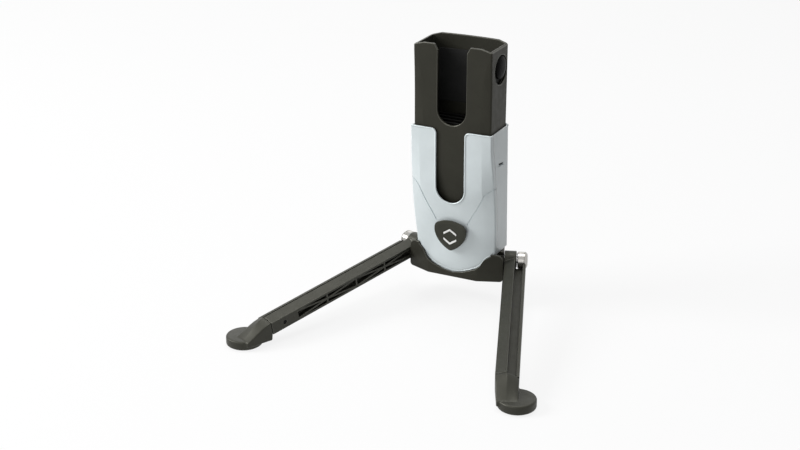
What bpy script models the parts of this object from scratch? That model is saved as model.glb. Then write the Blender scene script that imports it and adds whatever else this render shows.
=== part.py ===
"""Portable bike stand: a crank socket that slides in a two-part body, on a base with two folding legs.

Metres, +Z up. The stand faces -Y and is symmetric about X = 0, apart from its hardware's hand.
The model is built in a body frame whose origin lies on the floor below the socket, and one root
empty then moves it back so that the whole stand is centred on the world's origin.
"""

import math

import bmesh
import bpy
from mathutils import Matrix, Vector

MM = 0.001
GAP = 0.3 * MM  # running clearance between pieces that touch
SLIDE_GAP = 0.4 * MM  # between the socket and the inside of the silver body

# Socket tube
SOCKET_HALF_WIDTH = 35.2 * MM
SOCKET_FRONT = 17.8 * MM
SOCKET_BACK = 18.4 * MM
SOCKET_BOW = 2.2 * MM
SOCKET_CORNER = 3.4 * MM
FRONT_CORNER = 1.5 * MM
SOCKET_WALL = 2.4 * MM
SOCKET_TOP = 232 * MM
SOCKET_BOTTOM = 94 * MM
SOCKET_FLOOR_TOP = 155 * MM
SOCKET_FLOOR_THICKNESS = 3 * MM
FACET_SLOPE = 0.24
FACET_HALF_WIDTH = SOCKET_HALF_WIDTH - 9 * MM
FACET_FLARE = 8 * MM
FACET_FLARE_LOW = 180 * MM
RIM_RISE = 2.6 * MM
RIM_FLAT_HALF_WIDTH = SOCKET_HALF_WIDTH - 9.2 * MM
SLOT_HALF_WIDTH = 13.1 * MM
SLOT_BOTTOM = 166 * MM
SLOT_CHAMFER = 3.1 * MM
SLOT_CHAMFER_HEIGHT = 5.1 * MM
HEIGHT_TRAVEL = 18 * MM

# Side bumpers
BUMPER_HOLE_RADIUS = 12.5 * MM
BUMPER_HOLE_Y = 2.8 * MM
BUMPER_HOLE_Z = 213.5 * MM
BUMPER_RADIUS = 9.8 * MM
BUMPER_SHIFT_Y = 1.6 * MM
BUMPER_SHIFT_Z = 1.7 * MM
BUMPER_PROUD = 1.4 * MM
BUMPER_FLANGE = 1.6 * MM
BUMPER_FLANGE_RADIUS = BUMPER_HOLE_RADIUS + 1.2 * MM

# Liners and crank rest
LINER_THICKNESS = 1.2 * MM
LINER_HALF_WIDTH = SOCKET_HALF_WIDTH - 8.2 * MM
LINER_LOW = 176 * MM
LINER_HIGH = 222 * MM
REST_HEIGHT = 6 * MM
REST_RIB_HEIGHT = 3.4 * MM
REST_RIB_DEPTH = 2.4 * MM
REST_RIBS = 4

# Silver body shells
SHELL_WALL = 1.2 * MM
SHELL_SIDE_GAP = 0.5 * MM
SHELL_TOP = 162 * MM
SHELL_FRONT = SOCKET_FRONT + SLIDE_GAP + SHELL_WALL
SHELL_CORNER = 1.2 * MM
SHELL_BACK = SOCKET_BACK + 0.7 * MM + SHELL_WALL
SHELL_BACK_SLOPE = 4.9 / 108
SHELL_BOW = 2.0 * MM
SHELL_BACK_CORNER = 4.5 * MM
WINDOW_HALF_WIDTH = 13.4 * MM
WINDOW_BOTTOM = 96.7 * MM
WINDOW_FLARE = 4.0 * MM
SEAM_LOW_Y = -0.6 * MM
SEAM_LOW_Z = 55 * MM
SEAM_HIGH_Y = -13.5 * MM
SEAM_HIGH_Z = 157 * MM
SCREW_POST_HEIGHT = 11.5 * MM

# The silver body by height: how far its front's centre and its corner lie behind SHELL_FRONT, and how
# far the corner stands out to the side: a small set of measured stations
BODY_STATIONS = (
    (28 * MM, 10.4 * MM, 15.4 * MM, 0 * MM),
    (33 * MM, 9.6 * MM, 15.4 * MM, 0 * MM),
    (40 * MM, 8.2 * MM, 15.4 * MM, 0 * MM),
    (50 * MM, 6.8 * MM, 15.3 * MM, 0 * MM),
    (60 * MM, 5.8 * MM, 14.5 * MM, 0.5 * MM),
    (70 * MM, 5.4 * MM, 12.8 * MM, 1.2 * MM),
    (80 * MM, 4.7 * MM, 11.2 * MM, 1.5 * MM),
    (90 * MM, 3.2 * MM, 9.7 * MM, 1.7 * MM),
    (97 * MM, 1.8 * MM, 8.6 * MM, 1.8 * MM),
    (104 * MM, 0.7 * MM, 7.5 * MM, 1.7 * MM),
    (110 * MM, 0.2 * MM, 6.8 * MM, 1.5 * MM),
    (119 * MM, 0 * MM, 5.5 * MM, 1.2 * MM),
    (129 * MM, 0 * MM, 3.8 * MM, 1.0 * MM),
    (138 * MM, 0 * MM, 2.5 * MM, 0.5 * MM),
    (148 * MM, 0 * MM, 1.5 * MM, 0.1 * MM),
    (162 * MM, 0 * MM, 0.7 * MM, 0 * MM),
)

# Base bracket
BASE_BOTTOM = 26.5 * MM
BASE_FLOOR = 3.0 * MM
BASE_TOP = 50 * MM
BASE_FRONT = 12 * MM
BASE_FRONT_HALF_WIDTH = 23 * MM
BASE_EAR_FRONT = 19 * MM
BASE_SIDE = SOCKET_HALF_WIDTH + SHELL_SIDE_GAP + SHELL_WALL + 3.4 * MM
BASE_SIDE_BACK = 11 * MM
BASE_BACK = 27.5 * MM
BASE_BACK_HALF_WIDTH = 20 * MM
BASE_EDGE_RADIUS = 2.8 * MM
LIP_HALF_WIDTH = SOCKET_HALF_WIDTH - 1.2 * MM
SKIRT_TUCK = 3.4 * MM
SKIRT_HALF_WIDTH = SOCKET_HALF_WIDTH - 2.2 * MM
POCKET_HALF_WIDTH = 26 * MM
POCKET_BACK = 21 * MM

# Height of the base's front lip, by distance from the centre line: measured stations
LIP_STATIONS = (
    (0 * MM, 31 * MM),
    (9 * MM, 32.4 * MM),
    (15 * MM, 34.5 * MM),
    (21 * MM, 37 * MM),
    (24 * MM, 39.4 * MM),
    (26 * MM, 42 * MM),
    (27.6 * MM, 45 * MM),
    (29.9 * MM, 47.5 * MM),
    (34 * MM, 50 * MM),
)

# Legs and their hinges
LEG_PLAN_ANGLE = math.radians(20.5)
HINGE_FORWARD = 5 * MM
HINGE_Z = 42 * MM
LEG_INNER = BASE_SIDE + 0.5 * MM
LEG_LENGTH = 171.9 * MM
LEG_END_Z = 16.89 * MM
LEG_SLOPE = math.asin((HINGE_Z - LEG_END_Z) / LEG_LENGTH)
LEG_BOTTOM = -8 * MM
LEG_RIDGE_X = 8.9 * MM
LEG_RIDGE_Z = 5.6 * MM
LEG_INNER_Z = 2.9 * MM
GROOVE_INNER_X = 9.3 * MM
GROOVE_OUTER_X = 16.3 * MM
GROOVE_FLOOR_Z = -4.5 * MM
LEG_OUTER_X = 18.8 * MM
FLANGE_TOP_Z = 1.4 * MM
KNUCKLE_RADIUS = 8 * MM
KNUCKLE_WIDTH = 10.4 * MM
TRUSS_START = 11.5 * MM
TRUSS_BAY = (LEG_LENGTH - TRUSS_START - 27.4 * MM) / 2
TRUSS_DEPTH = 5 * MM
TRUSS_RAIL = 1.8 * MM
TRUSS_BAR = 1.5 * MM
TRUSS_RECESS = 0.4 * MM

PIN_RADIUS = 3.0 * MM
PIN_HEAD_RADIUS = 7.5 * MM
PIN_HEAD_OUTER = LEG_INNER + 20.2 * MM
NUT_FLATS = 10 * MM
NUT_THICKNESS = 3.7 * MM
NUT_SEAT = BASE_SIDE - 9 * MM
PIN_INNER = NUT_SEAT - 3.8 * MM
WASHER_RADIUS = 5.0 * MM
WASHER_THICKNESS = 1.0 * MM
WAVE_WASHER_RADIUS = 6.4 * MM
WAVE_WASHER_THICKNESS = 0.5 * MM

# Feet
FOOT_REACH = HINGE_FORWARD + LEG_LENGTH * math.cos(LEG_SLOPE) + 15.54 * MM
FOOT_OUT = LEG_INNER + 17.7 * MM
PAD_RADIUS = 15.25 * MM
PAD_HEIGHT = 8.6 * MM
SOLE_RADIUS = 13.4 * MM
SOLE_HEIGHT = 2.6 * MM
SOLE_PROUD = 0.8 * MM
NECK_END = FOOT_REACH + 8.4 * MM
NECK_STATIONS = 8
NECK_INSET = 2.2 * MM
TANG_LENGTH = 17 * MM
TANG_INNER_X = 2.0 * MM
TANG_OUTER_X = 7.2 * MM
TANG_LOW_Z = -5.9 * MM
TANG_HIGH_Z = 0.9 * MM
CROSS_PIN_Y = LEG_LENGTH - 13.7 * MM
CROSS_PIN_Z = -2.6 * MM
CROSS_PIN_RADIUS = 1.5 * MM

# Latch
RACK_HALF_WIDTH = 9 * MM
RACK_HALF_THICKNESS = 1.5 * MM
RACK_BOTTOM = 62 * MM
NOTCH_PITCH = 6 * MM
NOTCH_FIRST = 72 * MM
NOTCH_DEPTH = 1.0 * MM
NOTCH_HEIGHT = 3.0 * MM
RACK_FOOT_DEPTH = 9 * MM
RACK_FOOT_THICKNESS = 2.4 * MM
HOUSING_HALF_WIDTH = 20 * MM
HOUSING_FRONT = 6.2 * MM
HOUSING_BACK = 19 * MM
HOUSING_TOP = 55.2 * MM
WELL_FLOOR = 1.6 * MM
BUTTON_LOW = 52.8 * MM
BUTTON_HIGH = 81 * MM
BUTTON_FRONT = 17.4 * MM
BUTTON_RISE = 3.6 * MM
BUTTON_STANDOFF = 2.0 * MM
STEM_HALF_WIDTH = 4 * MM
STEM_LOW = 56.5 * MM
STEM_HIGH = 61.5 * MM
MARK_CENTRE_Z = 66 * MM
MARK_HALF_WIDTH = 6 * MM
MARK_BAR = 1.6 * MM
MARK_RISE = 4 * MM
MARK_PITCH = 4.4 * MM
MARK_DEPTH = 0.6 * MM
RISER_FRONT = -10.3 * MM
RISER_THICKNESS = 1.6 * MM
RISER_LOW = 55.5 * MM
RISER_HIGH = 75.4 * MM
RING_LOW = NOTCH_FIRST - 3 * MM
RING_HIGH = NOTCH_FIRST + 3 * MM
RING_INNER = 11.5 * MM
RING_OUTER = 14 * MM
RING_BACK_FRONT = RACK_HALF_THICKNESS + 1.7 * MM
RING_BACK = 6 * MM
TOOTH_CLEARANCE = 0.15 * MM
TOOTH_HALF_WIDTH = 7 * MM
SPRING_RADIUS = 2.65 * MM
SPRING_WIRE = 0.7 * MM
SPRING_Z = (STEM_LOW + STEM_HIGH) / 2
SPRING_CURLS = 3
SPRING_POINTS = 10
SPRING_WALL_FRONT = -3.6 * MM
SPRING_WALL_THICKNESS = 1.3 * MM
SPRING_SPIGOT_RADIUS = 1.8 * MM
SPRING_SPIGOT_LENGTH = 1.3 * MM

# The button's outline from the front, right half, from its low point to its top: measured stations
SHIELD_STATIONS = (
    (0, BUTTON_LOW),
    (1.5 * MM, 53.1 * MM),
    (4.8 * MM, 55 * MM),
    (8.6 * MM, 58 * MM),
    (12 * MM, 62 * MM),
    (14.2 * MM, 66.5 * MM),
    (15.1 * MM, 71 * MM),
    (14.6 * MM, 75 * MM),
    (12.6 * MM, 77.7 * MM),
    (8 * MM, 79.7 * MM),
    (4 * MM, 80.7 * MM),
    (0, BUTTON_HIGH),
)

# Screws
SCREW_RADIUS = 1.5 * MM
SCREW_HEAD_RADIUS = 2.8 * MM
SCREW_HEAD_HEIGHT = 1.6 * MM
SOCKET_RECESS_RADIUS = 1.3 * MM
HOUSING_SCREW_X = 15 * MM
HOUSING_SCREW_Y = 10 * MM
HOUSING_SCREW_TIP = 40 * MM
SHELL_SCREW_X = SOCKET_HALF_WIDTH - 4.2 * MM
SHELL_SCREW_Y = 16 * MM
RACK_SCREW_X = 5.5 * MM

ROUND = 32  # sides of a round piece
WELD = 0.001 * MM  # corners nearer than this are one

BODY_Y = (FOOT_REACH * math.cos(LEG_PLAN_ANGLE) - FOOT_OUT * math.sin(LEG_PLAN_ANGLE)
          + PAD_RADIUS - BASE_BACK) / 2


for old in list(bpy.data.objects):
    bpy.data.objects.remove(old, do_unlink=True)

scene = bpy.context.scene
parts = bpy.data.collections.new("portable_bike_stand")
cutters = bpy.data.collections.new("cutters")
scene.collection.children.link(parts)
scene.collection.children.link(cutters)


def material(name, colour, roughness, metallic=0.0):
    made = bpy.data.materials.new(name)
    made.use_nodes = True
    shader = made.node_tree.nodes["Principled BSDF"]
    shader.inputs["Base Color"].default_value = (*colour, 1)
    shader.inputs["Roughness"].default_value = roughness
    shader.inputs["Metallic"].default_value = metallic
    return made


BLACK = material("black_plastic", (0.045, 0.044, 0.040), 0.45)
SILVER = material("silver_paint", (0.62, 0.65, 0.66), 0.35)
BUTTON = material("button_plastic", (0.055, 0.054, 0.048), 0.40)
MARK = material("mark_inlay", (0.80, 0.80, 0.78), 0.35)
RUBBER = material("rubber", (0.022, 0.022, 0.021), 0.85)
LINER = material("liner", (0.030, 0.030, 0.029), 0.90)
STEEL = material("zinc_steel", (0.55, 0.55, 0.54), 0.30, 1.0)
CHROME = material("chrome", (0.80, 0.80, 0.80), 0.08, 1.0)
SPRING_STEEL = material("spring_steel", (0.45, 0.45, 0.46), 0.25, 1.0)


def empty(name, location, rotation=(0, 0, 0), parent=None):
    made = bpy.data.objects.new(name, None)
    made.empty_display_size = 0.01
    made.location = location
    made.rotation_euler = rotation
    made.parent = parent
    parts.objects.link(made)
    return made


root = empty("stand_root", (0, BODY_Y, 0))
socket_slide = empty("socket_slide", (0, 0, SOCKET_BOTTOM), parent=root)
button_slide = empty("button_slide", (0, RISER_FRONT, STEM_LOW), parent=root)


def keep(obj, name, surface, parent=root):
    """Name a finished piece, colour it and hang it under its empty, its mesh in body coordinates."""
    obj.name = name
    obj.data.name = name
    obj.data.materials.clear()
    obj.data.materials.append(surface)
    for collection in list(obj.users_collection):
        collection.objects.unlink(obj)
    parts.objects.link(obj)
    obj.hide_render = False
    obj.display_type = "TEXTURED"
    if parent in (socket_slide, button_slide):
        obj.data.transform(Matrix.Translation(-parent.location))
    obj.parent = parent
    obj.data.shade_smooth()
    obj.data.set_sharp_from_angle(angle=math.radians(30))
    return obj


def tool(mesh, name="shape"):
    """A new object that starts as a cutter or an operand."""
    obj = bpy.data.objects.new(name, mesh)
    cutters.objects.link(obj)
    obj.hide_render = True
    obj.display_type = "WIRE"
    return obj


def from_bmesh(bm, name="shape"):
    bmesh.ops.recalc_face_normals(bm, faces=bm.faces)
    mesh = bpy.data.meshes.new(name)
    bm.to_mesh(mesh)
    bm.free()
    return tool(mesh, name)


def box(x, y, z):
    """A block between two values on each axis."""
    bm = bmesh.new()
    bmesh.ops.create_cube(bm, size=1)
    size = Matrix.Diagonal((x[1] - x[0], y[1] - y[0], z[1] - z[0], 1))
    centre = Matrix.Translation(((x[0] + x[1]) / 2, (y[0] + y[1]) / 2, (z[0] + z[1]) / 2))
    bmesh.ops.transform(bm, matrix=centre @ size, verts=bm.verts)
    return from_bmesh(bm)


def cylinder(radius, start, end, sides=ROUND, end_radius=None, turn=0.0):
    """A round bar from one point to another; a second radius makes a cone."""
    start, end = Vector(start), Vector(end)
    bm = bmesh.new()
    bmesh.ops.create_cone(bm, cap_ends=True, segments=sides, radius1=radius,
                          radius2=radius if end_radius is None else end_radius,
                          depth=(end - start).length)
    spin = Matrix.Rotation(turn, 4, "Z")
    aim = (end - start).to_track_quat("Z", "Y").to_matrix().to_4x4()
    bmesh.ops.transform(bm, matrix=Matrix.Translation((start + end) / 2) @ aim @ spin, verts=bm.verts)
    return from_bmesh(bm)


FRONT_VIEW = Matrix(((1, 0, 0, 0), (0, 0, 1, 0), (0, 1, 0, 0), (0, 0, 0, 1)))
SIDE_VIEW = Matrix(((0, 0, 1, 0), (1, 0, 0, 0), (0, 1, 0, 0), (0, 0, 0, 1)))
PLAN_VIEW = Matrix.Identity(4)


def outline_solid(outline, low, high, view):
    """A flat outline given thickness: (x, z) from the front, (y, z) from the side or (x, y) in plan."""
    curve = bpy.data.curves.new("outline", "CURVE")
    curve.dimensions = "2D"
    curve.fill_mode = "BOTH"
    curve.extrude = (high - low) / 2
    spline = curve.splines.new("POLY")
    spline.points.add(len(outline) - 1)
    for point, (u, v) in zip(spline.points, outline):
        point.co = (u, v, 0, 1)
    spline.use_cyclic_u = True
    drawn = bpy.data.objects.new("outline", curve)
    cutters.objects.link(drawn)
    drawn.matrix_world = view @ Matrix.Translation((0, 0, (low + high) / 2))
    bpy.context.view_layer.update()
    place = drawn.matrix_world.copy()
    mesh = bpy.data.meshes.new_from_object(drawn.evaluated_get(bpy.context.evaluated_depsgraph_get()))
    bpy.data.objects.remove(drawn)
    bm = bmesh.new()
    bm.from_mesh(mesh)
    bmesh.ops.remove_doubles(bm, verts=bm.verts, dist=WELD)
    bmesh.ops.transform(bm, matrix=place, verts=bm.verts)
    bpy.data.meshes.remove(mesh)
    return from_bmesh(bm)


def loft(rings):
    """A closed solid through rings that have the same number of points."""
    bm = bmesh.new()
    rows = [[bm.verts.new(point) for point in ring] for ring in rings]
    count = len(rows[0])
    for low, high in zip(rows, rows[1:]):
        for i in range(count):
            j = (i + 1) % count
            bm.faces.new((low[i], low[j], high[j], high[i]))
    bmesh.ops.triangulate(bm, faces=bm.faces)
    bm.faces.new(list(reversed(rows[0])))
    bm.faces.new(rows[-1])
    return from_bmesh(bm)


def combine(target, other, operation):
    boolean = target.modifiers.new(operation.lower(), "BOOLEAN")
    boolean.operation = operation
    boolean.solver = "EXACT"
    boolean.object = other
    bpy.context.view_layer.update()
    graph = bpy.context.evaluated_depsgraph_get()
    mesh = bpy.data.meshes.new_from_object(target.evaluated_get(graph))
    target.modifiers.clear()
    bm = bmesh.new()
    bm.from_mesh(mesh)
    bmesh.ops.remove_doubles(bm, verts=bm.verts, dist=WELD)
    bm.to_mesh(mesh)
    bm.free()
    target.data = mesh
    bpy.data.objects.remove(other)
    return target


def cut(target, *others):
    for other in others:
        combine(target, other, "DIFFERENCE")
    return target


def join(target, *others):
    for other in others:
        combine(target, other, "UNION")
    return target


def common(target, other):
    return combine(target, other, "INTERSECT")


def copy_of(obj):
    return tool(obj.data.copy())


def placed(obj, matrix):
    """Move an unfinished shape, turning its faces out again if the matrix mirrors it."""
    obj.data.transform(matrix)
    if matrix.determinant() < 0:
        obj.data.flip_normals()
    return obj


def arc(centre, radius, start, end, steps):
    """Points on an arc, angles in degrees."""
    angles = [math.radians(start + (end - start) * i / steps) for i in range(steps + 1)]
    return [(centre[0] + radius * math.cos(a), centre[1] + radius * math.sin(a)) for a in angles]


def mirrored(half):
    """A whole ring from its right half, which runs from the front centre to the back centre."""
    return half + [(-x, y) for x, y in reversed(half[1:-1])]


def station_value(stations, place, column=1):
    """A measured value, straight from one station to the next."""
    if place <= stations[0][0]:
        return stations[0][column]
    for low, high in zip(stations, stations[1:]):
        if place <= high[0]:
            part = (place - low[0]) / (high[0] - low[0])
            return low[column] + (high[column] - low[column]) * part
    return stations[-1][column]


def soft_corner(start, corner, end, steps=3):
    """Points of a rounded corner, from its start to its end."""
    points = []
    for i in range(steps + 1):
        t = i / steps
        weights = ((1 - t) ** 2, 2 * t * (1 - t), t * t)
        points.append(tuple(sum(w * p[axis] for w, p in zip(weights, (start, corner, end)))
                            for axis in (0, 1)))
    return points


# Body sections


def bowed_back(points, bow, steps):
    """The back of a section, from its last corner point to the centre line."""
    last_x, last_y = points[-1]
    for i in range(1, steps + 1):
        x = last_x * (1 - i / steps)
        points.append((x, last_y + bow * (1 - (x / last_x) ** 2)))
    return points


def socket_ring(z, inset=0.0):
    """A section of the socket tube. Its front clears the inside of the silver body at the lowest setting."""
    half = SOCKET_HALF_WIDTH - inset
    radius = max(FRONT_CORNER - inset, 0.6 * MM)
    rise = max(0.0, (z - FACET_FLARE_LOW) / (SOCKET_TOP - FACET_FLARE_LOW))
    strip = min(FACET_HALF_WIDTH + FACET_FLARE * rise ** 2, half - radius - 0.6 * MM)

    def front(x):
        facet = -SOCKET_FRONT + FACET_SLOPE * max(0.0, x - strip)
        return max(facet, shell_y(x, z - HEIGHT_TRAVEL) + SHELL_WALL + SLIDE_GAP) + inset

    points = [(x, front(x)) for x in (0, 7 * MM, 14 * MM, 20.5 * MM, strip)]
    start = (half - radius, front(half - radius))
    points += soft_corner(start, (half, front(half)), (half, front(half) + radius))
    corner = max(SOCKET_CORNER - inset, 0.6 * MM)
    points += arc((half - corner, SOCKET_BACK - inset - corner), corner, 0, 80, 4)
    return [(x, y, z) for x, y in mirrored(bowed_back(points, SOCKET_BOW, 5))]


def shell_half(z):
    return SOCKET_HALF_WIDTH + SHELL_SIDE_GAP + SHELL_WALL + station_value(BODY_STATIONS, z, 3)


def shell_y(x, z):
    """The silver body's front face, bowed from its centre back to its corners."""
    centre, corner = station_value(BODY_STATIONS, z, 1), station_value(BODY_STATIONS, z, 2)
    return -SHELL_FRONT + centre + (corner - centre) * (x / shell_half(z)) ** 2


def shell_back(z):
    return SHELL_BACK + SHELL_BACK_SLOPE * (SHELL_TOP - z)


def shell_ring(z, inset=0.0):
    half = shell_half(z) - inset
    radius = max(SHELL_CORNER - inset, 0.4 * MM)

    def front(x):
        return shell_y(x, z) + inset

    points = [(x, front(x)) for x in (0, 7 * MM, 14.2 * MM, 21.5 * MM, 28.7 * MM)]
    start = (half - radius, front(half - radius))
    points += soft_corner(start, (half, front(half)), (half, front(half) + radius))
    corner = max(SHELL_BACK_CORNER - inset, 0.6 * MM)
    side = SOCKET_HALF_WIDTH + SHELL_SIDE_GAP + SHELL_WALL - inset
    points += arc((side - corner, shell_back(z) - inset - corner), corner, 0, 80, 4)
    return [(x, y, z) for x, y in mirrored(bowed_back(points, SHELL_BOW, 4))]


def lip_height(x):
    return station_value(LIP_STATIONS, abs(x))


# Socket and what is fixed in it


def crank_socket():
    heights = [98.2, 108.2, 115.2, 122.2, 128.2, 137.2, 147.2, 159, 168.6, 182, 192, 202, 212, 222, 230.6]
    heights = [SOCKET_BOTTOM] + [z * MM for z in heights] + [SOCKET_TOP + RIM_RISE + 2 * MM]
    body = loft([socket_ring(z) for z in heights])
    above = [z for z in heights if z > SOCKET_FLOOR_TOP + 1 * MM]
    cavity = [SOCKET_FLOOR_TOP] + above + [above[-1] + 3 * MM]
    cut(body, loft([socket_ring(z, SOCKET_WALL) for z in cavity]))
    below = [z for z in heights if z < SOCKET_FLOOR_TOP - SOCKET_FLOOR_THICKNESS - 1 * MM]
    hollow = [below[0] - 3 * MM] + below + [SOCKET_FLOOR_TOP - SOCKET_FLOOR_THICKNESS]
    cut(body, loft([socket_ring(z, SOCKET_WALL) for z in hollow]))
    edge, far = SOCKET_HALF_WIDTH + 0.4 * MM, SOCKET_HALF_WIDTH + 5 * MM
    top = SOCKET_TOP + RIM_RISE
    rim = [(-far, SOCKET_TOP), (-edge, SOCKET_TOP), (-RIM_FLAT_HALF_WIDTH, top),
           (RIM_FLAT_HALF_WIDTH, top), (edge, SOCKET_TOP), (far, SOCKET_TOP),
           (far, top + 9 * MM), (-far, top + 9 * MM)]
    cut(body, outline_solid(rim, -40 * MM, 40 * MM, FRONT_VIEW))
    slot = arc((0, SLOT_BOTTOM + SLOT_HALF_WIDTH), SLOT_HALF_WIDTH, 180, 360, 14)
    slot += [(SLOT_HALF_WIDTH, top - SLOT_CHAMFER_HEIGHT), (SLOT_HALF_WIDTH + SLOT_CHAMFER, top),
             (SLOT_HALF_WIDTH + SLOT_CHAMFER, top + 5 * MM),
             (-SLOT_HALF_WIDTH - SLOT_CHAMFER, top + 5 * MM), (-SLOT_HALF_WIDTH - SLOT_CHAMFER, top),
             (-SLOT_HALF_WIDTH, top - SLOT_CHAMFER_HEIGHT)]
    cut(body, outline_solid(slot, -40 * MM, 0, FRONT_VIEW))
    cut(body, cylinder(BUMPER_HOLE_RADIUS, (-50 * MM, BUMPER_HOLE_Y, BUMPER_HOLE_Z),
                       (50 * MM, BUMPER_HOLE_Y, BUMPER_HOLE_Z)))
    for side in (-1, 1):
        x = side * RACK_SCREW_X
        cut(body, cylinder(SCREW_RADIUS + GAP, (x, 0, SOCKET_FLOOR_TOP - 10 * MM),
                           (x, 0, SOCKET_FLOOR_TOP + 5 * MM), 16))
    return keep(body, "crank_socket", BLACK, socket_slide)


def crank_rest_pad():
    """Rubber rest on the socket's floor, with ribs across it that the crank arm stands on."""
    low = SOCKET_FLOOR_TOP + GAP + SCREW_HEAD_HEIGHT
    inner = SOCKET_WALL + GAP
    body = loft([socket_ring(low, inner), socket_ring(low + REST_HEIGHT, inner)])
    depth = SOCKET_FRONT + SOCKET_BACK - 2 * inner
    for i in range(REST_RIBS):
        y = -SOCKET_FRONT + inner + depth * (i + 0.75) / REST_RIBS
        half = SOCKET_HALF_WIDTH - inner - 3 * MM
        top = low + REST_HEIGHT + REST_RIB_HEIGHT
        foot = low + REST_HEIGHT / 2
        rib = [(y - REST_RIB_DEPTH / 2, foot), (y + REST_RIB_DEPTH / 2, foot),
               (y + REST_RIB_DEPTH / 3, top), (y - REST_RIB_DEPTH / 3, top)]
        join(body, outline_solid(rib, -half, half, SIDE_VIEW))
    for side in (-1, 1):
        x = side * RACK_SCREW_X
        cut(body, cylinder(SCREW_HEAD_RADIUS + GAP, (x, 0, low - 3 * MM), (x, 0, low + REST_HEIGHT / 2), 16))
    feet = SOCKET_FLOOR_TOP + GAP
    for side in (-1, 1):
        x = side * (SOCKET_HALF_WIDTH - inner - 12 * MM)
        join(body, box((x - 5 * MM, x + 5 * MM), (-8 * MM, 8 * MM), (feet, low + 2 * MM)))
    return keep(body, "crank_rest_pad", RUBBER, socket_slide)


def liners():
    """Thin soft strips on the walls that the crank arm bears on."""
    outer = SOCKET_WALL + GAP
    inner = outer + LINER_THICKNESS
    lining = loft([socket_ring(z, outer) for z in (LINER_LOW, LINER_HIGH)])
    cut(lining, loft([socket_ring(z, inner) for z in (LINER_LOW - MM, LINER_HIGH + MM)]))
    far = 40 * MM
    height = (LINER_LOW - 2 * MM, LINER_HIGH + 2 * MM)
    back = common(copy_of(lining), box((-LINER_HALF_WIDTH, LINER_HALF_WIDTH), (0, far), height))
    keep(back, "back_pad", LINER, socket_slide)
    near, out = SLOT_HALF_WIDTH + 1.5 * MM, FACET_HALF_WIDTH - 1.5 * MM
    right = common(copy_of(lining), box((near, out), (-far, 0), height))
    left = common(lining, box((-out, -near), (-far, 0), height))
    keep(right, "front_pad_right", LINER, socket_slide)
    keep(left, "front_pad_left", LINER, socket_slide)


def side_bumpers():
    """Domed plugs whose flanges sit inside the tube and whose domes stand out through the holes."""
    inside = SOCKET_HALF_WIDTH - SOCKET_WALL - GAP
    y, z = BUMPER_HOLE_Y, BUMPER_HOLE_Z
    dome_y, dome_z = y + BUMPER_SHIFT_Y, z + BUMPER_SHIFT_Z
    reach = SOCKET_HALF_WIDTH + BUMPER_PROUD - inside
    for side, label in ((-1, "left"), (1, "right")):
        body = cylinder(BUMPER_FLANGE_RADIUS, (inside - BUMPER_FLANGE, y - 1.4 * MM, z),
                        (inside, y - 1.4 * MM, z))
        bm = bmesh.new()
        bmesh.ops.create_uvsphere(bm, u_segments=ROUND, v_segments=16, radius=BUMPER_RADIUS)
        squash = Matrix.Diagonal((reach / BUMPER_RADIUS, 1, 1, 1))
        turn = Matrix.Rotation(math.pi / 2, 4, "Y")
        centre = Matrix.Translation((inside - 0.2 * MM, dome_y, dome_z))
        bmesh.ops.transform(bm, matrix=centre @ squash @ turn, verts=bm.verts)
        dome = from_bmesh(bm)
        cut(dome, box((inside - 20 * MM, inside - BUMPER_FLANGE / 2), (-40 * MM, 40 * MM), (0, 1)))
        join(body, dome)
        if side < 0:
            placed(body, Matrix.Diagonal((-1, 1, 1, 1)))
        keep(body, f"side_bumper_{label}", RUBBER, socket_slide)


def screw(name, tip, head, parent=root, surface=STEEL):
    """A pan head screw with a round driver recess; the head's seat lies at its inner face."""
    tip, head = Vector(tip), Vector(head)
    aim = (tip - head).normalized()
    body = cylinder(SCREW_HEAD_RADIUS, head - aim * (SCREW_HEAD_HEIGHT - GAP), head, 20)
    join(body, cylinder(SCREW_RADIUS, head - aim * 0.5 * SCREW_HEAD_HEIGHT, tip, 16))
    back = head - aim * SCREW_HEAD_HEIGHT
    cut(body, cylinder(SOCKET_RECESS_RADIUS, back - aim * MM, back + aim * 0.55 * SCREW_HEAD_HEIGHT, 6))
    return keep(body, name, surface, parent)


def height_rack():
    """Toothed bar under the socket's floor; its notches face back, one for each locked height."""
    seat = SOCKET_FLOOR_TOP - SOCKET_FLOOR_THICKNESS - GAP
    half, thick = RACK_HALF_WIDTH, RACK_HALF_THICKNESS
    body = box((-half, half), (-thick, thick), (RACK_BOTTOM, seat))
    join(body, box((-half, half), (-RACK_FOOT_DEPTH / 2, RACK_FOOT_DEPTH / 2),
                   (seat - RACK_FOOT_THICKNESS, seat)))
    steps = int(round(HEIGHT_TRAVEL / NOTCH_PITCH)) + 1
    for i in range(steps):
        z = NOTCH_FIRST + i * NOTCH_PITCH
        wide = TOOTH_HALF_WIDTH + GAP
        cut(body, box((-wide, wide), (thick - NOTCH_DEPTH, thick + MM),
                      (z - NOTCH_HEIGHT / 2, z + NOTCH_HEIGHT / 2)))
    for side in (-1, 1):
        x = side * RACK_SCREW_X
        cut(body, cylinder(SCREW_RADIUS + GAP, (x, 0, seat - RACK_FOOT_THICKNESS - 6 * MM),
                           (x, 0, seat + MM), 16))
    keep(body, "height_rack", STEEL, socket_slide)
    for side, label in ((-1, "left"), (1, "right")):
        x = side * RACK_SCREW_X
        screw(f"rack_screw_{label}", (x, 0, seat - RACK_FOOT_THICKNESS - 4 * MM),
              (x, 0, SOCKET_FLOOR_TOP + GAP), socket_slide)


# Silver body


def shell_body():
    heights = [station[0] for station in BODY_STATIONS]
    body = loft([shell_ring(z) for z in heights])
    inner = [heights[0] - 3 * MM] + heights + [SHELL_TOP + 3 * MM]
    return cut(body, loft([shell_ring(z, SHELL_WALL) for z in inner]))


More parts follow.
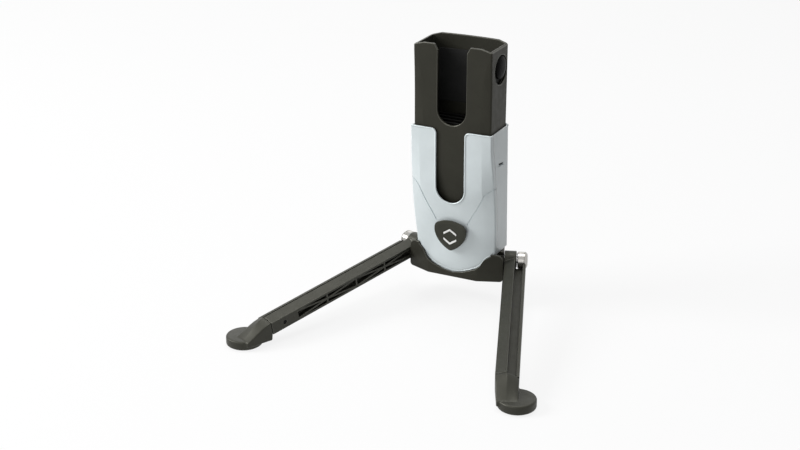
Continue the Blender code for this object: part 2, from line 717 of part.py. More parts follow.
def seam_region(shift, ahead):
    """Everything ahead of the slanted parting line, or behind it, moved back by a shift."""
    edge = -60 * MM if ahead else 60 * MM
    line = [(SEAM_LOW_Y, 10 * MM), (SEAM_LOW_Y, SEAM_LOW_Z), (SEAM_HIGH_Y, SEAM_HIGH_Z),
            (SEAM_HIGH_Y, SHELL_TOP + 10 * MM)]
    outline = [(y + shift, z) for y, z in line]
    outline += [(edge, SHELL_TOP + 10 * MM), (edge, 10 * MM)]
    return outline_solid(outline, -60 * MM, 60 * MM, SIDE_VIEW)


def shells():
    whole = shell_body()
    flare = WINDOW_HALF_WIDTH + WINDOW_FLARE
    window = arc((0, WINDOW_BOTTOM + WINDOW_HALF_WIDTH), WINDOW_HALF_WIDTH, 180, 360, 14)
    window += arc((flare, SHELL_TOP - WINDOW_FLARE), WINDOW_FLARE, 180, 90, 4)
    window += [(flare, SHELL_TOP + 5 * MM), (-flare, SHELL_TOP + 5 * MM)]
    window += arc((-flare, SHELL_TOP - WINDOW_FLARE), WINDOW_FLARE, 90, 0, 4)
    front = copy_of(whole)
    common(front, seam_region(-GAP / 2, True))
    cut(front, outline_solid(window, -40 * MM, 0, FRONT_VIEW))
    edge = [i / 8 * SKIRT_HALF_WIDTH for i in range(-8, 9)]
    floor = BASE_BOTTOM + BASE_FLOOR + GAP
    skirt = [(x, max(lip_height(x) - SKIRT_TUCK, floor)) for x in edge]
    skirt += [(SKIRT_HALF_WIDTH, BASE_TOP + GAP), (60 * MM, BASE_TOP + GAP), (60 * MM, 0), (-60 * MM, 0),
              (-60 * MM, BASE_TOP + GAP), (-SKIRT_HALF_WIDTH, BASE_TOP + GAP)]
    cut(front, outline_solid(skirt, -60 * MM, 60 * MM, FRONT_VIEW))
    stem = STEM_HALF_WIDTH + GAP
    cut(front, box((-stem, stem), (-40 * MM, 0), (STEM_LOW - GAP, STEM_HIGH + GAP)))
    keep(front, "front_shell", SILVER)
    back = whole
    common(back, seam_region(GAP / 2, False))
    cut(back, box((-60 * MM, 60 * MM), (-60 * MM, 60 * MM), (0, BASE_TOP + GAP)))
    inside = SOCKET_HALF_WIDTH + SHELL_SIDE_GAP
    for side in (-1, 1):
        near, far = SHELL_SCREW_X - 3.2 * MM, inside + SHELL_WALL / 2
        post = box((near, far) if side > 0 else (-far, -near),
                   (SHELL_SCREW_Y - 3.2 * MM, SHELL_SCREW_Y + 3.2 * MM),
                   (BASE_TOP + GAP, BASE_TOP + GAP + SCREW_POST_HEIGHT))
        join(back, post)
        x = side * SHELL_SCREW_X
        cut(back, cylinder(SCREW_RADIUS + GAP, (x, SHELL_SCREW_Y, 0),
                           (x, SHELL_SCREW_Y, BASE_TOP + SCREW_POST_HEIGHT - 1.5 * MM), 16))
    keep(back, "rear_shell", SILVER)


# Base


def leg_frame(side):
    """From leg coordinates (outward, back along the leg, up) to the body frame; side is 1 or -1."""
    angle = LEG_PLAN_ANGLE
    ahead = Vector((math.sin(angle), -math.cos(angle), 0))
    out = Vector((math.cos(angle), math.sin(angle), 0))
    origin = ahead * HINGE_FORWARD + out * LEG_INNER
    origin.z = HINGE_Z
    place = Matrix.Translation(origin) @ Matrix.Rotation(angle, 4, "Z")
    return place if side > 0 else Matrix.Diagonal((-1, 1, 1, 1)) @ place


def on_axis(out, side=1):
    """A point on a hinge axis, by its distance out from the body's centre line."""
    return leg_frame(side) @ Vector((out - LEG_INNER, 0, 0))


def base_outline():
    angle = LEG_PLAN_ANGLE
    ahead = Vector((math.sin(angle), -math.cos(angle)))
    out = Vector((math.cos(angle), math.sin(angle)))
    ear = ahead * BASE_EAR_FRONT + out * BASE_SIDE
    heel = out * BASE_SIDE - ahead * BASE_SIDE_BACK
    half = [(BASE_FRONT_HALF_WIDTH, -BASE_FRONT), tuple(ear), tuple(heel), (BASE_BACK_HALF_WIDTH, BASE_BACK)]
    return half + [(-x, y) for x, y in reversed(half)]


def base_bracket():
    body = outline_solid(base_outline(), BASE_BOTTOM, BASE_TOP, PLAN_VIEW)
    edge = [i / 8 * LIP_HALF_WIDTH for i in range(-8, 9)]
    lip = [(x, lip_height(x)) for x in edge]
    lip += [(LIP_HALF_WIDTH, BASE_TOP + 5 * MM), (-LIP_HALF_WIDTH, BASE_TOP + 5 * MM)]
    cut(body, outline_solid(lip, -60 * MM, SEAM_LOW_Y - MM, FRONT_VIEW))
    floor = BASE_BOTTOM + BASE_FLOOR
    heights = [floor - 0.5 * MM, 33 * MM, 40 * MM, 47 * MM, BASE_TOP + 4 * MM]
    nest = loft([shell_ring(z, -GAP) for z in heights])
    common(nest, box((-SKIRT_HALF_WIDTH - GAP, SKIRT_HALF_WIDTH + GAP), (-60 * MM, SEAM_LOW_Y), (0, 1)))
    tuck = [(x, max(lip_height(x) - SKIRT_TUCK - GAP, floor - 0.2 * MM)) for x in edge]
    tuck += [(LIP_HALF_WIDTH, BASE_TOP + 9 * MM), (-LIP_HALF_WIDTH, BASE_TOP + 9 * MM)]
    common(nest, outline_solid(tuck, -60 * MM, 60 * MM, FRONT_VIEW))
    cut(body, nest)
    cut(body, box((-POCKET_HALF_WIDTH, POCKET_HALF_WIDTH), (-HOUSING_FRONT - GAP, POCKET_BACK),
                  (floor, BASE_TOP + 5 * MM)))
    for side in (-1, 1):
        place = leg_frame(side)
        shoulder = arc((BASE_SIDE - LEG_INNER - BASE_EDGE_RADIUS, BASE_TOP - HINGE_Z - BASE_EDGE_RADIUS),
                       BASE_EDGE_RADIUS, 90, 0, 5)
        shoulder += [(6 * MM, shoulder[-1][1]), (6 * MM, 12 * MM), (shoulder[0][0], 12 * MM)]
        cut(body, placed(outline_solid(shoulder, -60 * MM, 60 * MM, FRONT_VIEW), place))
        pin = PIN_RADIUS + GAP
        cut(body, cylinder(pin, on_axis(15 * MM, side), on_axis(BASE_SIDE + 5 * MM, side)))
        nut = NUT_FLATS / 2 / math.cos(math.radians(30)) + GAP
        cut(body, cylinder(nut, on_axis(18 * MM, side), on_axis(NUT_SEAT, side), 6))
        recess = BASE_SIDE - (WASHER_THICKNESS + GAP - (LEG_INNER - BASE_SIDE - GAP))
        cut(body, cylinder(WASHER_RADIUS + GAP, on_axis(recess, side), on_axis(BASE_SIDE + 5 * MM, side)))
        for x, y in ((HOUSING_SCREW_X, HOUSING_SCREW_Y), (SHELL_SCREW_X, SHELL_SCREW_Y)):
            cut(body, cylinder(SCREW_RADIUS + GAP, (side * x, y, 0), (side * x, y, BASE_TOP + 5 * MM), 16))
            cut(body, cylinder(SCREW_HEAD_RADIUS + GAP, (side * x, y, 0),
                               (side * x, y, BASE_BOTTOM + SCREW_HEAD_HEIGHT + GAP), 20))
    keep(body, "base_bracket", BLACK)
    seat = BASE_BOTTOM + SCREW_HEAD_HEIGHT
    for side, label in ((-1, "left"), (1, "right")):
        x = side * HOUSING_SCREW_X
        screw(f"housing_screw_{label}", (x, HOUSING_SCREW_Y, HOUSING_SCREW_TIP), (x, HOUSING_SCREW_Y, seat))
        x = side * SHELL_SCREW_X
        screw(f"shell_screw_{label}", (x, SHELL_SCREW_Y, BASE_TOP + SCREW_POST_HEIGHT - 3 * MM),
              (x, SHELL_SCREW_Y, seat))


def latch_housing():
    low = BASE_BOTTOM + BASE_FLOOR + GAP
    half = HOUSING_HALF_WIDTH
    body = box((-half, half), (-HOUSING_FRONT, HOUSING_BACK), (low, HOUSING_TOP))
    wall = SPRING_WALL_FRONT + SPRING_WALL_THICKNESS
    join(body, box((-STEM_HALF_WIDTH, STEM_HALF_WIDTH), (SPRING_WALL_FRONT, wall),
                   (HOUSING_TOP - 5 * MM, SPRING_Z + 4 * MM)))
    join(body, cylinder(SPRING_SPIGOT_RADIUS, (0, SPRING_WALL_FRONT + 0.5 * MM, SPRING_Z),
                        (0, SPRING_WALL_FRONT - SPRING_SPIGOT_LENGTH, SPRING_Z), 12))
    well = RACK_HALF_THICKNESS + 0.5 * MM
    wide = RACK_HALF_WIDTH + 2 * GAP
    cut(body, box((-wide, wide), (-well, well), (low + WELL_FLOOR, HOUSING_TOP + MM)))
    for side in (-1, 1):
        x = side * HOUSING_SCREW_X
        cut(body, cylinder(SCREW_RADIUS + GAP, (x, HOUSING_SCREW_Y, low - MM),
                           (x, HOUSING_SCREW_Y, HOUSING_SCREW_TIP + 1.5 * MM), 16))
    keep(body, "latch_housing", BLACK)


def catch():
    """Frame that the button pushes: a riser in front of the rack and a ring that reaches round it."""
    riser = (RISER_FRONT, RISER_FRONT + RISER_THICKNESS)
    ring = box((-RING_OUTER, RING_OUTER), (riser[0] + 0.4 * MM, RING_BACK), (RING_LOW, RING_HIGH))
    cut(ring, box((-RING_INNER, RING_INNER), (riser[1], RING_BACK_FRONT), (RING_LOW - MM, RING_HIGH + MM)))
    edge = RING_OUTER + 0.4 * MM
    body = box((-edge, edge), riser, (RISER_LOW, RISER_HIGH))
    join(body, ring)
    for side in (-1, 1):
        x = (RING_INNER, RING_OUTER) if side > 0 else (-RING_OUTER, -RING_INNER)
        join(body, box(x, (riser[1] - MM, RACK_HALF_THICKNESS), (RISER_LOW, RISER_LOW + 3 * MM)))
    tip = RACK_HALF_THICKNESS + TOOTH_CLEARANCE
    low = NOTCH_FIRST - NOTCH_HEIGHT / 2
    tooth = [(RING_BACK_FRONT + MM, low), (tip, low + 0.8 * MM), (tip, low + NOTCH_HEIGHT - 0.8 * MM),
             (RING_BACK_FRONT + MM, low + NOTCH_HEIGHT)]
    join(body, outline_solid(tooth, -TOOTH_HALF_WIDTH, TOOTH_HALF_WIDTH, SIDE_VIEW))
    join(body, cylinder(SPRING_SPIGOT_RADIUS, (0, riser[1] - 0.5 * MM, SPRING_Z),
                        (0, riser[1] + SPRING_SPIGOT_LENGTH, SPRING_Z), 12))
    keep(body, "catch", STEEL, button_slide)


def button_levels():
    steps = 10
    return [BUTTON_LOW - MM + (BUTTON_HIGH - BUTTON_LOW + 2 * MM) * i / steps for i in range(steps + 1)]


def button_back():
    """The button's back in side view; it stands off the silver body by more than the button's travel."""
    return [(shell_y(0, z) - BUTTON_STANDOFF, z) for z in button_levels()]


def button_front(behind=0.0):
    """The button's front in side view, or a surface this far behind it."""
    return [(min(-BUTTON_FRONT, shell_y(0, z) - BUTTON_RISE) + behind, z) for z in button_levels()]


def shield_outline():
    right = list(SHIELD_STATIONS)
    return right + [(-x, z) for x, z in reversed(right[1:-1])]


def release_button():
    body = outline_solid(shield_outline(), -60 * MM, 0, FRONT_VIEW)
    profile = button_back() + list(reversed(button_front()))
    common(body, outline_solid(profile, -30 * MM, 30 * MM, SIDE_VIEW))
    join(body, box((-STEM_HALF_WIDTH, STEM_HALF_WIDTH),
                   (shell_y(0, STEM_LOW) - BUTTON_STANDOFF - 1.2 * MM, RISER_FRONT - GAP),
                   (STEM_LOW, STEM_HIGH)))
    chevrons = mark_outlines()
    for outline in chevrons:
        grown = outline_solid(outline(GAP), -60 * MM, 0, FRONT_VIEW)
        slab = button_front(MARK_DEPTH + GAP) + list(reversed(button_front(-2 * MM)))
        common(grown, outline_solid(slab, -30 * MM, 30 * MM, SIDE_VIEW))
        cut(body, grown)
    keep(body, "release_button", BUTTON, button_slide)
    for outline, label in zip(chevrons, ("lower", "upper")):
        mark = outline_solid(outline(0.0), -60 * MM, 0, FRONT_VIEW)
        slab = button_front(MARK_DEPTH) + list(reversed(button_front(-0.1 * MM)))
        common(mark, outline_solid(slab, -30 * MM, 30 * MM, SIDE_VIEW))
        keep(mark, f"button_mark_{label}", MARK, button_slide)


def mark_outlines():
    """Two plain chevrons, one pointing up and one pointing down, each grown by a margin."""
    def chevron(centre, sign):
        def outline(margin):
            half, bar = MARK_HALF_WIDTH + margin, MARK_BAR / 2 + margin
            low, high = centre - sign * MARK_RISE / 2, centre + sign * MARK_RISE / 2
            lift = sign * bar * 1.2
            return [(-half, low - lift), (0, high - lift), (half, low - lift),
                    (half, low + lift), (0, high + lift), (-half, low + lift)]
        return outline
    return [chevron(MARK_CENTRE_Z - MARK_PITCH, -1), chevron(MARK_CENTRE_Z + MARK_PITCH, 1)]


def button_spring():
    """Coil spring round two spigots; its ends run on as flat closed curls."""
    start = RISER_FRONT + RISER_THICKNESS + SPRING_WIRE / 2 + GAP
    end = SPRING_WALL_FRONT - SPRING_WIRE / 2 - GAP
    count = SPRING_CURLS * SPRING_POINTS
    points = []
    for i in range(count + 1):
        angle = 2 * math.pi * i / SPRING_POINTS
        points.append(Vector((SPRING_RADIUS * math.cos(angle), start + (end - start) * i / count,
                              SPRING_Z + SPRING_RADIUS * math.sin(angle))))
    least = min((points[i] - points[j]).length
                for i in range(count + 1) for j in range(i + SPRING_POINTS - 2, count + 1))
    print(f"button_spring least gap to itself {(least - SPRING_WIRE) / MM:.2f} mm")
    curve = bpy.data.curves.new("button_spring", "CURVE")
    curve.dimensions = "3D"
    curve.bevel_depth = SPRING_WIRE / 2
    curve.bevel_resolution = 1
    curve.use_fill_caps = True
    spline = curve.splines.new("POLY")
    spline.points.add(count)
    for point, place in zip(spline.points, points):
        point.co = (*place, 1)
    drawn = bpy.data.objects.new("coil", curve)
    cutters.objects.link(drawn)
    bpy.context.view_layer.update()
    mesh = bpy.data.meshes.new_from_object(drawn.evaluated_get(bpy.context.evaluated_depsgraph_get()))
    bpy.data.objects.remove(drawn)
    bm = bmesh.new()
    bm.from_mesh(mesh)
    bmesh.ops.remove_doubles(bm, verts=bm.verts, dist=WELD)
    bpy.data.meshes.remove(mesh)
    return keep(from_bmesh(bm), "button_spring", SPRING_STEEL)


# Hinges


def hinge_hardware(side, label):
    head_seat = LEG_INNER + KNUCKLE_WIDTH + 2 * GAP + WAVE_WASHER_THICKNESS
    pin = cylinder(PIN_RADIUS, on_axis(PIN_INNER, side), on_axis(head_seat + MM, side))
    dome = 2.2 * MM
    join(pin, cylinder(PIN_HEAD_RADIUS, on_axis(head_seat, side), on_axis(PIN_HEAD_OUTER - dome, side)))
    join(pin, cylinder(PIN_HEAD_RADIUS - 0.2 * MM, on_axis(PIN_HEAD_OUTER - dome - 0.2 * MM, side),
                       on_axis(PIN_HEAD_OUTER, side), ROUND, PIN_HEAD_RADIUS - 2.4 * MM))
    keep(pin, f"hinge_pin_{label}", CHROME)
    nut = cylinder(NUT_FLATS / 2 / math.cos(math.radians(30)),
                   on_axis(NUT_SEAT - GAP - NUT_THICKNESS, side), on_axis(NUT_SEAT - GAP, side), 6)
    cut(nut, cylinder(PIN_RADIUS + GAP, on_axis(15 * MM, side), on_axis(60 * MM, side)))
    keep(nut, f"hinge_nut_{label}", STEEL)
    washer = cylinder(WASHER_RADIUS, on_axis(LEG_INNER - GAP - WASHER_THICKNESS, side),
                      on_axis(LEG_INNER - GAP, side))
    cut(washer, cylinder(PIN_RADIUS + GAP, on_axis(15 * MM, side), on_axis(60 * MM, side)))
    keep(washer, f"hinge_washer_{label}", LINER)
    seat = LEG_INNER + KNUCKLE_WIDTH + GAP
    wave = cylinder(WAVE_WASHER_RADIUS, on_axis(seat, side), on_axis(seat + WAVE_WASHER_THICKNESS, side))
    cut(wave, cylinder(PIN_RADIUS + GAP, on_axis(15 * MM, side), on_axis(60 * MM, side)))
    keep(wave, f"wave_washer_{label}", SPRING_STEEL)


# Legs


def truss_bars(start, end, low, high):
    """The crossed bars and the short upright of one bay, as outlines from the side."""
    middle = (start + end) / 2
    bar = TRUSS_BAR
    return [
        [(start, low), (start, low + bar), (end, high), (end, high - bar)],
        [(start, high), (start, high - bar), (end, low), (end, low + bar)],
        [(middle - bar / 2, low), (middle + bar / 2, low),
         (middle + bar / 2, high), (middle - bar / 2, high)],
    ]


def leg_shape():
    """The right leg in leg coordinates, lying along -Y from its hinge axis."""
    section = [(0, LEG_BOTTOM), (LEG_OUTER_X, LEG_BOTTOM), (LEG_OUTER_X, FLANGE_TOP_Z),
               (GROOVE_OUTER_X, FLANGE_TOP_Z), (GROOVE_OUTER_X, GROOVE_FLOOR_Z),
               (GROOVE_INNER_X, GROOVE_FLOOR_Z), (GROOVE_INNER_X, LEG_RIDGE_Z - 0.4 * MM),
               (LEG_RIDGE_X - 0.4 * MM, LEG_RIDGE_Z), (0.6 * MM, LEG_INNER_Z + 0.2 * MM),
               (0, LEG_INNER_Z - 0.4 * MM)]
    body = outline_solid(section, -LEG_LENGTH, 0, FRONT_VIEW)
    join(body, cylinder(KNUCKLE_RADIUS, (0.1 * MM, 0, 0), (KNUCKLE_WIDTH + MM, 0, 0)))
    cut(body, cylinder(PIN_HEAD_RADIUS + 0.8 * MM, (KNUCKLE_WIDTH, 0, 0), (40 * MM, 0, 0)))
    cut(body, cylinder(PIN_RADIUS + GAP, (-MM, 0, 0), (40 * MM, 0, 0)))
    low, high = LEG_BOTTOM + TRUSS_RAIL, LEG_INNER_Z - TRUSS_RAIL
    for bay in range(2):
        start = -TRUSS_START - bay * TRUSS_BAY - TRUSS_BAR / 2
        end = start - TRUSS_BAY + TRUSS_BAR
        cut(body, box((-MM, TRUSS_DEPTH), (end, start), (low, high)))
        lap = 0.2 * MM
        for i, outline in enumerate(truss_bars(start + lap, end - lap, low - lap, high + lap)):
            step = 0.1 * MM * i
            join(body, outline_solid(outline, TRUSS_RECESS + step, TRUSS_DEPTH + 0.4 * MM + step, SIDE_VIEW))
    cut(body, box((TANG_INNER_X - GAP, TANG_OUTER_X + GAP),
                  (-LEG_LENGTH - MM, -LEG_LENGTH + TANG_LENGTH + GAP),
                  (TANG_LOW_Z - GAP, TANG_HIGH_Z + GAP)))
    cut(body, cylinder(CROSS_PIN_RADIUS + GAP, (-MM, -CROSS_PIN_Y, CROSS_PIN_Z),
                       (TANG_OUTER_X + 1.4 * MM, -CROSS_PIN_Y, CROSS_PIN_Z), 16))
    return body


def boot_shape():
    """The right boot in leg coordinates before the leg's slope: tang, neck and round pad."""
    slope = Matrix.Rotation(LEG_SLOPE, 4, "X")
    level = slope.inverted()
    floor = -HINGE_Z

    def station(t):
        """A section of the neck, t from 0 at the leg's end to 1 on the pad."""
        start = HINGE_FORWARD + (LEG_LENGTH + GAP) * math.cos(LEG_SLOPE)
        ahead = start + (NECK_END - start) * t - HINGE_FORWARD
        drop = -ahead * math.tan(LEG_SLOPE)
        fall = math.cos(t * math.pi / 2)
        pad = floor + PAD_HEIGHT
        def height(z):
            return pad - 0.5 * MM + (drop + z - pad + 0.5 * MM) * fall if t > 0 else drop + z
        inner = NECK_INSET * t
        bottom = max(drop + LEG_BOTTOM, floor + 4 * MM) if t == 0 else floor + 4 * MM
        lean = math.sin(LEG_SLOPE) * (1 - t)
        outline = [(inner, bottom), (LEG_OUTER_X, bottom), (LEG_OUTER_X, height(FLANGE_TOP_Z)),
                   (GROOVE_OUTER_X, height(FLANGE_TOP_Z)), (GROOVE_OUTER_X - MM, height(GROOVE_FLOOR_Z)),
                   (GROOVE_INNER_X + MM, height(GROOVE_FLOOR_Z)),
                   (GROOVE_INNER_X, height(LEG_RIDGE_Z - 0.4 * MM)),
                   (LEG_RIDGE_X - 0.4 * MM, height(LEG_RIDGE_Z)),
                   (inner + 0.6 * MM, height(LEG_INNER_Z + 0.2 * MM)),
                   (inner, height(LEG_INNER_Z - 0.4 * MM))]
        return [(x, -ahead - (z - drop) * lean, z) for x, z in outline]

    neck = loft([station(i / NECK_STATIONS) for i in range(NECK_STATIONS + 1)])
    centre = (FOOT_OUT - LEG_INNER, -(FOOT_REACH - HINGE_FORWARD))
    edge = 0.8 * MM
    low = floor + SOLE_PROUD
    pad = cylinder(PAD_RADIUS - edge, (*centre, low), (*centre, low + edge), ROUND, PAD_RADIUS)
    join(pad, cylinder(PAD_RADIUS, (*centre, low + edge), (*centre, floor + PAD_HEIGHT - edge)))
    join(pad, cylinder(PAD_RADIUS, (*centre, floor + PAD_HEIGHT - edge), (*centre, floor + PAD_HEIGHT),
                       ROUND, PAD_RADIUS - edge))
    join(pad, neck)
    placed(pad, level)
    tang = box((TANG_INNER_X, TANG_OUTER_X), (-LEG_LENGTH - 3 * MM, -LEG_LENGTH + TANG_LENGTH),
               (TANG_LOW_Z, TANG_HIGH_Z))
    join(pad, tang)
    cut(pad, cylinder(CROSS_PIN_RADIUS + GAP, (-MM, -CROSS_PIN_Y, CROSS_PIN_Z),
                      (12 * MM, -CROSS_PIN_Y, CROSS_PIN_Z), 16))
    sole = cylinder(SOLE_RADIUS + GAP, (*centre, floor - MM), (*centre, floor + SOLE_HEIGHT + GAP))
    cut(pad, placed(sole, level))
    return pad


def sole_shape():
    level = Matrix.Rotation(LEG_SLOPE, 4, "X").inverted()
    centre = (FOOT_OUT - LEG_INNER, -(FOOT_REACH - HINGE_FORWARD))
    return placed(cylinder(SOLE_RADIUS, (*centre, -HINGE_Z), (*centre, -HINGE_Z + SOLE_HEIGHT)), level)


def legs():
    """Both legs, each under an empty on its own hinge axis."""
    for side, label in ((1, "right"), (-1, "left")):
        hinge = on_axis(LEG_INNER, side)
        pivot = empty(f"{label}_leg_hinge", hinge, (LEG_SLOPE, 0, side * LEG_PLAN_ANGLE), root)
        flip = Matrix.Diagonal((side, 1, 1, 1))
        shapes = (("leg", leg_shape(), BLACK), ("foot", boot_shape(), BLACK),
                  ("foot_pad", sole_shape(), RUBBER),
                  ("foot_pin", cylinder(CROSS_PIN_RADIUS, (0.3 * MM, -CROSS_PIN_Y, CROSS_PIN_Z),
                                        (TANG_OUTER_X + MM, -CROSS_PIN_Y, CROSS_PIN_Z), 16), STEEL))
        for name, shape, surface in shapes:
            keep(placed(shape, flip), f"{name}_{label}", surface, pivot)


crank_socket()
crank_rest_pad()
liners()
side_bumpers()
height_rack()
shells()
base_bracket()
latch_housing()
catch()
release_button()
button_spring()
for hand, word in ((-1, "left"), (1, "right")):
    hinge_hardware(hand, word)
legs()
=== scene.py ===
"""Portable bike stand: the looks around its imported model.

Metres, +Z up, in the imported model's frame. Pieces are drawn in the body frame, whose origin lies on the
floor below the socket, and moved to their place as they are finished. The stand faces -Y and is
symmetric about X = 0.
"""

import contextlib
import math

import bmesh
import bpy
from mathutils import Matrix, Vector


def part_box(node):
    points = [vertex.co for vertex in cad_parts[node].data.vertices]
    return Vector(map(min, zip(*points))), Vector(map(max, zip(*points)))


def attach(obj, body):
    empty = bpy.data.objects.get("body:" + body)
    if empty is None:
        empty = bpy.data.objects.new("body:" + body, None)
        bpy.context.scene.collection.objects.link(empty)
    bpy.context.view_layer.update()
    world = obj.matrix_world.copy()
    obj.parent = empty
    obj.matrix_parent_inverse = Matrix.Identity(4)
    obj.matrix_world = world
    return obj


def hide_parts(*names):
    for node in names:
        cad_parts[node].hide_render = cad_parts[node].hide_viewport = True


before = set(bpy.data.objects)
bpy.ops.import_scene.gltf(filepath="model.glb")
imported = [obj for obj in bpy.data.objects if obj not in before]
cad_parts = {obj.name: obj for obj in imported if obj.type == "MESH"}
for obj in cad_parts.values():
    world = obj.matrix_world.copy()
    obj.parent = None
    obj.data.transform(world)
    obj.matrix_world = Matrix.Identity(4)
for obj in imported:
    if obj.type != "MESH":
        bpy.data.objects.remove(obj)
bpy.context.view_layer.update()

MM = 0.001
GAP = 0.3 * MM
SLIDE_GAP = 0.4 * MM
# How far the shapes that cut a piece run past its faces
FAR = 60 * MM
PAST_SIDE = 50 * MM
PAST_FRONT = 40 * MM
PAST_TOP = 5 * MM
PAST_END = 3 * MM


def in_mm(*rows):
    return tuple(tuple(value * MM for value in row) for row in rows)


def both(half):
    return -half, half


# Socket tube
SOCKET_HALF_WIDTH = 35.2 * MM
SOCKET_FRONT = 17.8 * MM
SOCKET_BACK = 18.4 * MM
SOCKET_BOW = 2.2 * MM
SOCKET_CORNER = 3.4 * MM
FRONT_CORNER = 1.5 * MM
SOCKET_WALL = 2.4 * MM
SOCKET_TOP = 232 * MM
SOCKET_BOTTOM = 94 * MM
SOCKET_FLOOR_TOP = 155 * MM
SOCKET_FLOOR_THICKNESS = 3 * MM
FACET_FLARE_LOW = 180 * MM
FACET_SLOPE = 0.24
FACET_HALF_WIDTH = 26.2 * MM
FACET_FLARE = 8 * MM
RIM_RISE = 2.6 * MM
RIM_FLAT_HALF_WIDTH = 26 * MM
SLOT_HALF_WIDTH = 13.1 * MM
SLOT_BOTTOM = 166 * MM
SLOT_CHAMFER = 3.1 * MM
SLOT_CHAMFER_HEIGHT = 5.1 * MM
TUBE_ROUNDING = 0.65 * MM
HEIGHT_TRAVEL = 18 * MM
BUMPER_HOLE_RADIUS = 12.5 * MM
BUMPER_HOLE_Y = 2.8 * MM
BUMPER_HOLE_Z = 213.5 * MM
BUMPER_RADIUS = 9.8 * MM
BUMPER_SHIFT = (1.6 * MM, 1.7 * MM)
BUMPER_PROUD = 1.4 * MM
BUMPER_FLANGE = 1.2 * MM
BUMPER_FLANGE_SHIFT = 1.4 * MM
REST_LOW = 156.9 * MM
REST_HEIGHT = 6 * MM
REST_BLOCK_INSET = 12 * MM
REST_BLOCK_HALF_WIDTH = 5 * MM
REST_BLOCK_HALF_DEPTH = 8 * MM
REST_RIB_HEIGHT = 3.4 * MM
REST_RIB_RADIUS = 1.15 * MM
REST_RIBS = 4
LINER_THICKNESS = 1.2 * MM
LINER_HALF_WIDTH = 27 * MM
LINER_LOW = 176 * MM
LINER_HIGH = 222 * MM
RUBBER_ROUNDING = 0.2 * MM
FLUTE_PITCH = 3 * MM
FLUTE_DEPTH = 0.3 * MM
MIN_CORNER = 0.6 * MM

# Silver body
SHELL_WALL = 1.2 * MM
SHELL_SIDE_GAP = 0.5 * MM
SHELL_SIDE = SOCKET_HALF_WIDTH + SHELL_SIDE_GAP + SHELL_WALL
SHELL_TOP = 162 * MM
SHELL_FRONT = 19.4 * MM
SHELL_CORNER = 1.2 * MM
SHELL_BACK = 20.3 * MM
SHELL_BACK_SLOPE = 4.9 / 108
SHELL_BOW = 2.0 * MM
SHELL_BACK_CORNER = 4.5 * MM
SHELL_ROUNDING = 0.3 * MM
WINDOW_HALF_WIDTH = 13.4 * MM
WINDOW_BOTTOM = 96.7 * MM
WINDOW_FLARE = 4.0 * MM
FLARE_X = WINDOW_HALF_WIDTH + WINDOW_FLARE
FLARE_Z = SHELL_TOP - WINDOW_FLARE
ARCH_Z = WINDOW_BOTTOM + WINDOW_HALF_WIDTH
SEAM_LOW_Y = -0.6 * MM
SEAM_LOW_Z = 55 * MM
SEAM_HIGH_Y = -13.5 * MM
SEAM_HIGH_Z = 157 * MM
# Height, how far the front's centre and its corner lie back, how far the corner stands out
BODY_STATIONS = in_mm(
    (28, 10.4, 15.4, 0), (33, 9.6, 15.4, 0), (40, 8.2, 15.4, 0),
    (50, 6.8, 15.3, 0), (60, 5.8, 14.5, 0.5), (70, 5.4, 12.8, 1.2),
    (80, 4.7, 11.2, 1.5), (90, 3.2, 9.7, 1.7), (97, 1.8, 8.6, 1.8),
    (104, 0.7, 7.5, 1.7), (110, 0.2, 6.8, 1.5), (119, 0, 5.5, 1.2),
    (129, 0, 3.8, 1.0), (138, 0, 2.5, 0.5), (148, 0, 1.5, 0.1),
    (162, 0, 0.7, 0),
)
FACET_LINE = 28.6 * MM
FACET_FADE_LOW = 90 * MM
FACET_FADE_HEIGHT = 26 * MM
FACET_SHARE = 0.30
SEAM_GAP = 0.7 * MM
BEAD_RADIUS = 0.8 * MM
FOOT_BEAD_RADIUS = 0.55 * MM
FOOT_BEAD_LIFT = 0.6 * MM
BEAD_INSET = 0.25 * MM
CREASE = in_mm(
    (38.2, 114), (33.5, 111.3), (31, 108.7), (28.9, 104.6), (25.6, 97.8), (21.9, 91), (17.8, 84.4),
    (14.3, 78),
)
CREASE_WIDTH = 1.0 * MM
CREASE_DEPTH = 0.6 * MM
CREASE_SPAN = (75 * MM, 121 * MM)
SKIN_PROUD = 0.5 * MM
SNAP_Y = 2.6 * MM
SNAP_Z = 131.6 * MM
SNAP_SIZE = (10.5 * MM, 2.6 * MM)
SNAP_DEPTH = 1.6 * MM
SNAP_LEAN = math.radians(-8)

# Base
BASE_BOTTOM = 26.5 * MM
BASE_FLOOR = 3.0 * MM
BASE_TOP = 50 * MM
BASE_FRONT = 12 * MM
BASE_FRONT_HALF_WIDTH = 23 * MM
BASE_EAR_FRONT = 19 * MM
BASE_SIDE = 40.3 * MM
BASE_SIDE_BACK = 11 * MM
BASE_BACK = 27.5 * MM
BASE_BACK_HALF_WIDTH = 20 * MM
BASE_EDGE_RADIUS = 2.8 * MM
BASE_ROUNDING = 0.45 * MM
LIP_HALF_WIDTH = 34 * MM
LIP_STATIONS = in_mm(
    (0, 31), (9, 32.4), (15, 34.5), (21, 37), (24, 39.4), (25.3, 40.3), (26, 42), (27.6, 45),
    (29.9, 47.5), (34.1, 50.1),
)
LIP_THICKNESS = 2.7 * MM
LIP_GAP = 1.2 * MM
HUMP_TOP = 51.5 * MM
HUMP_RADIUS = 6.6 * MM
TROUGH_FLOOR = 46 * MM
TROUGH_BACK = 6 * MM
TROUGH_INNER = 31 * MM
SKIRT_TUCK = 3.4 * MM
SKIRT_HALF_WIDTH = 33 * MM
POCKET_HALF_WIDTH = 26 * MM
POCKET_BACK = 21 * MM
POCKET_FRONT = 6.5 * MM
SCREW_PLACES = in_mm((15, 10), (31, 16))
SCREW_RADIUS = 1.5 * MM
SCREW_HEAD_RADIUS = 2.8 * MM
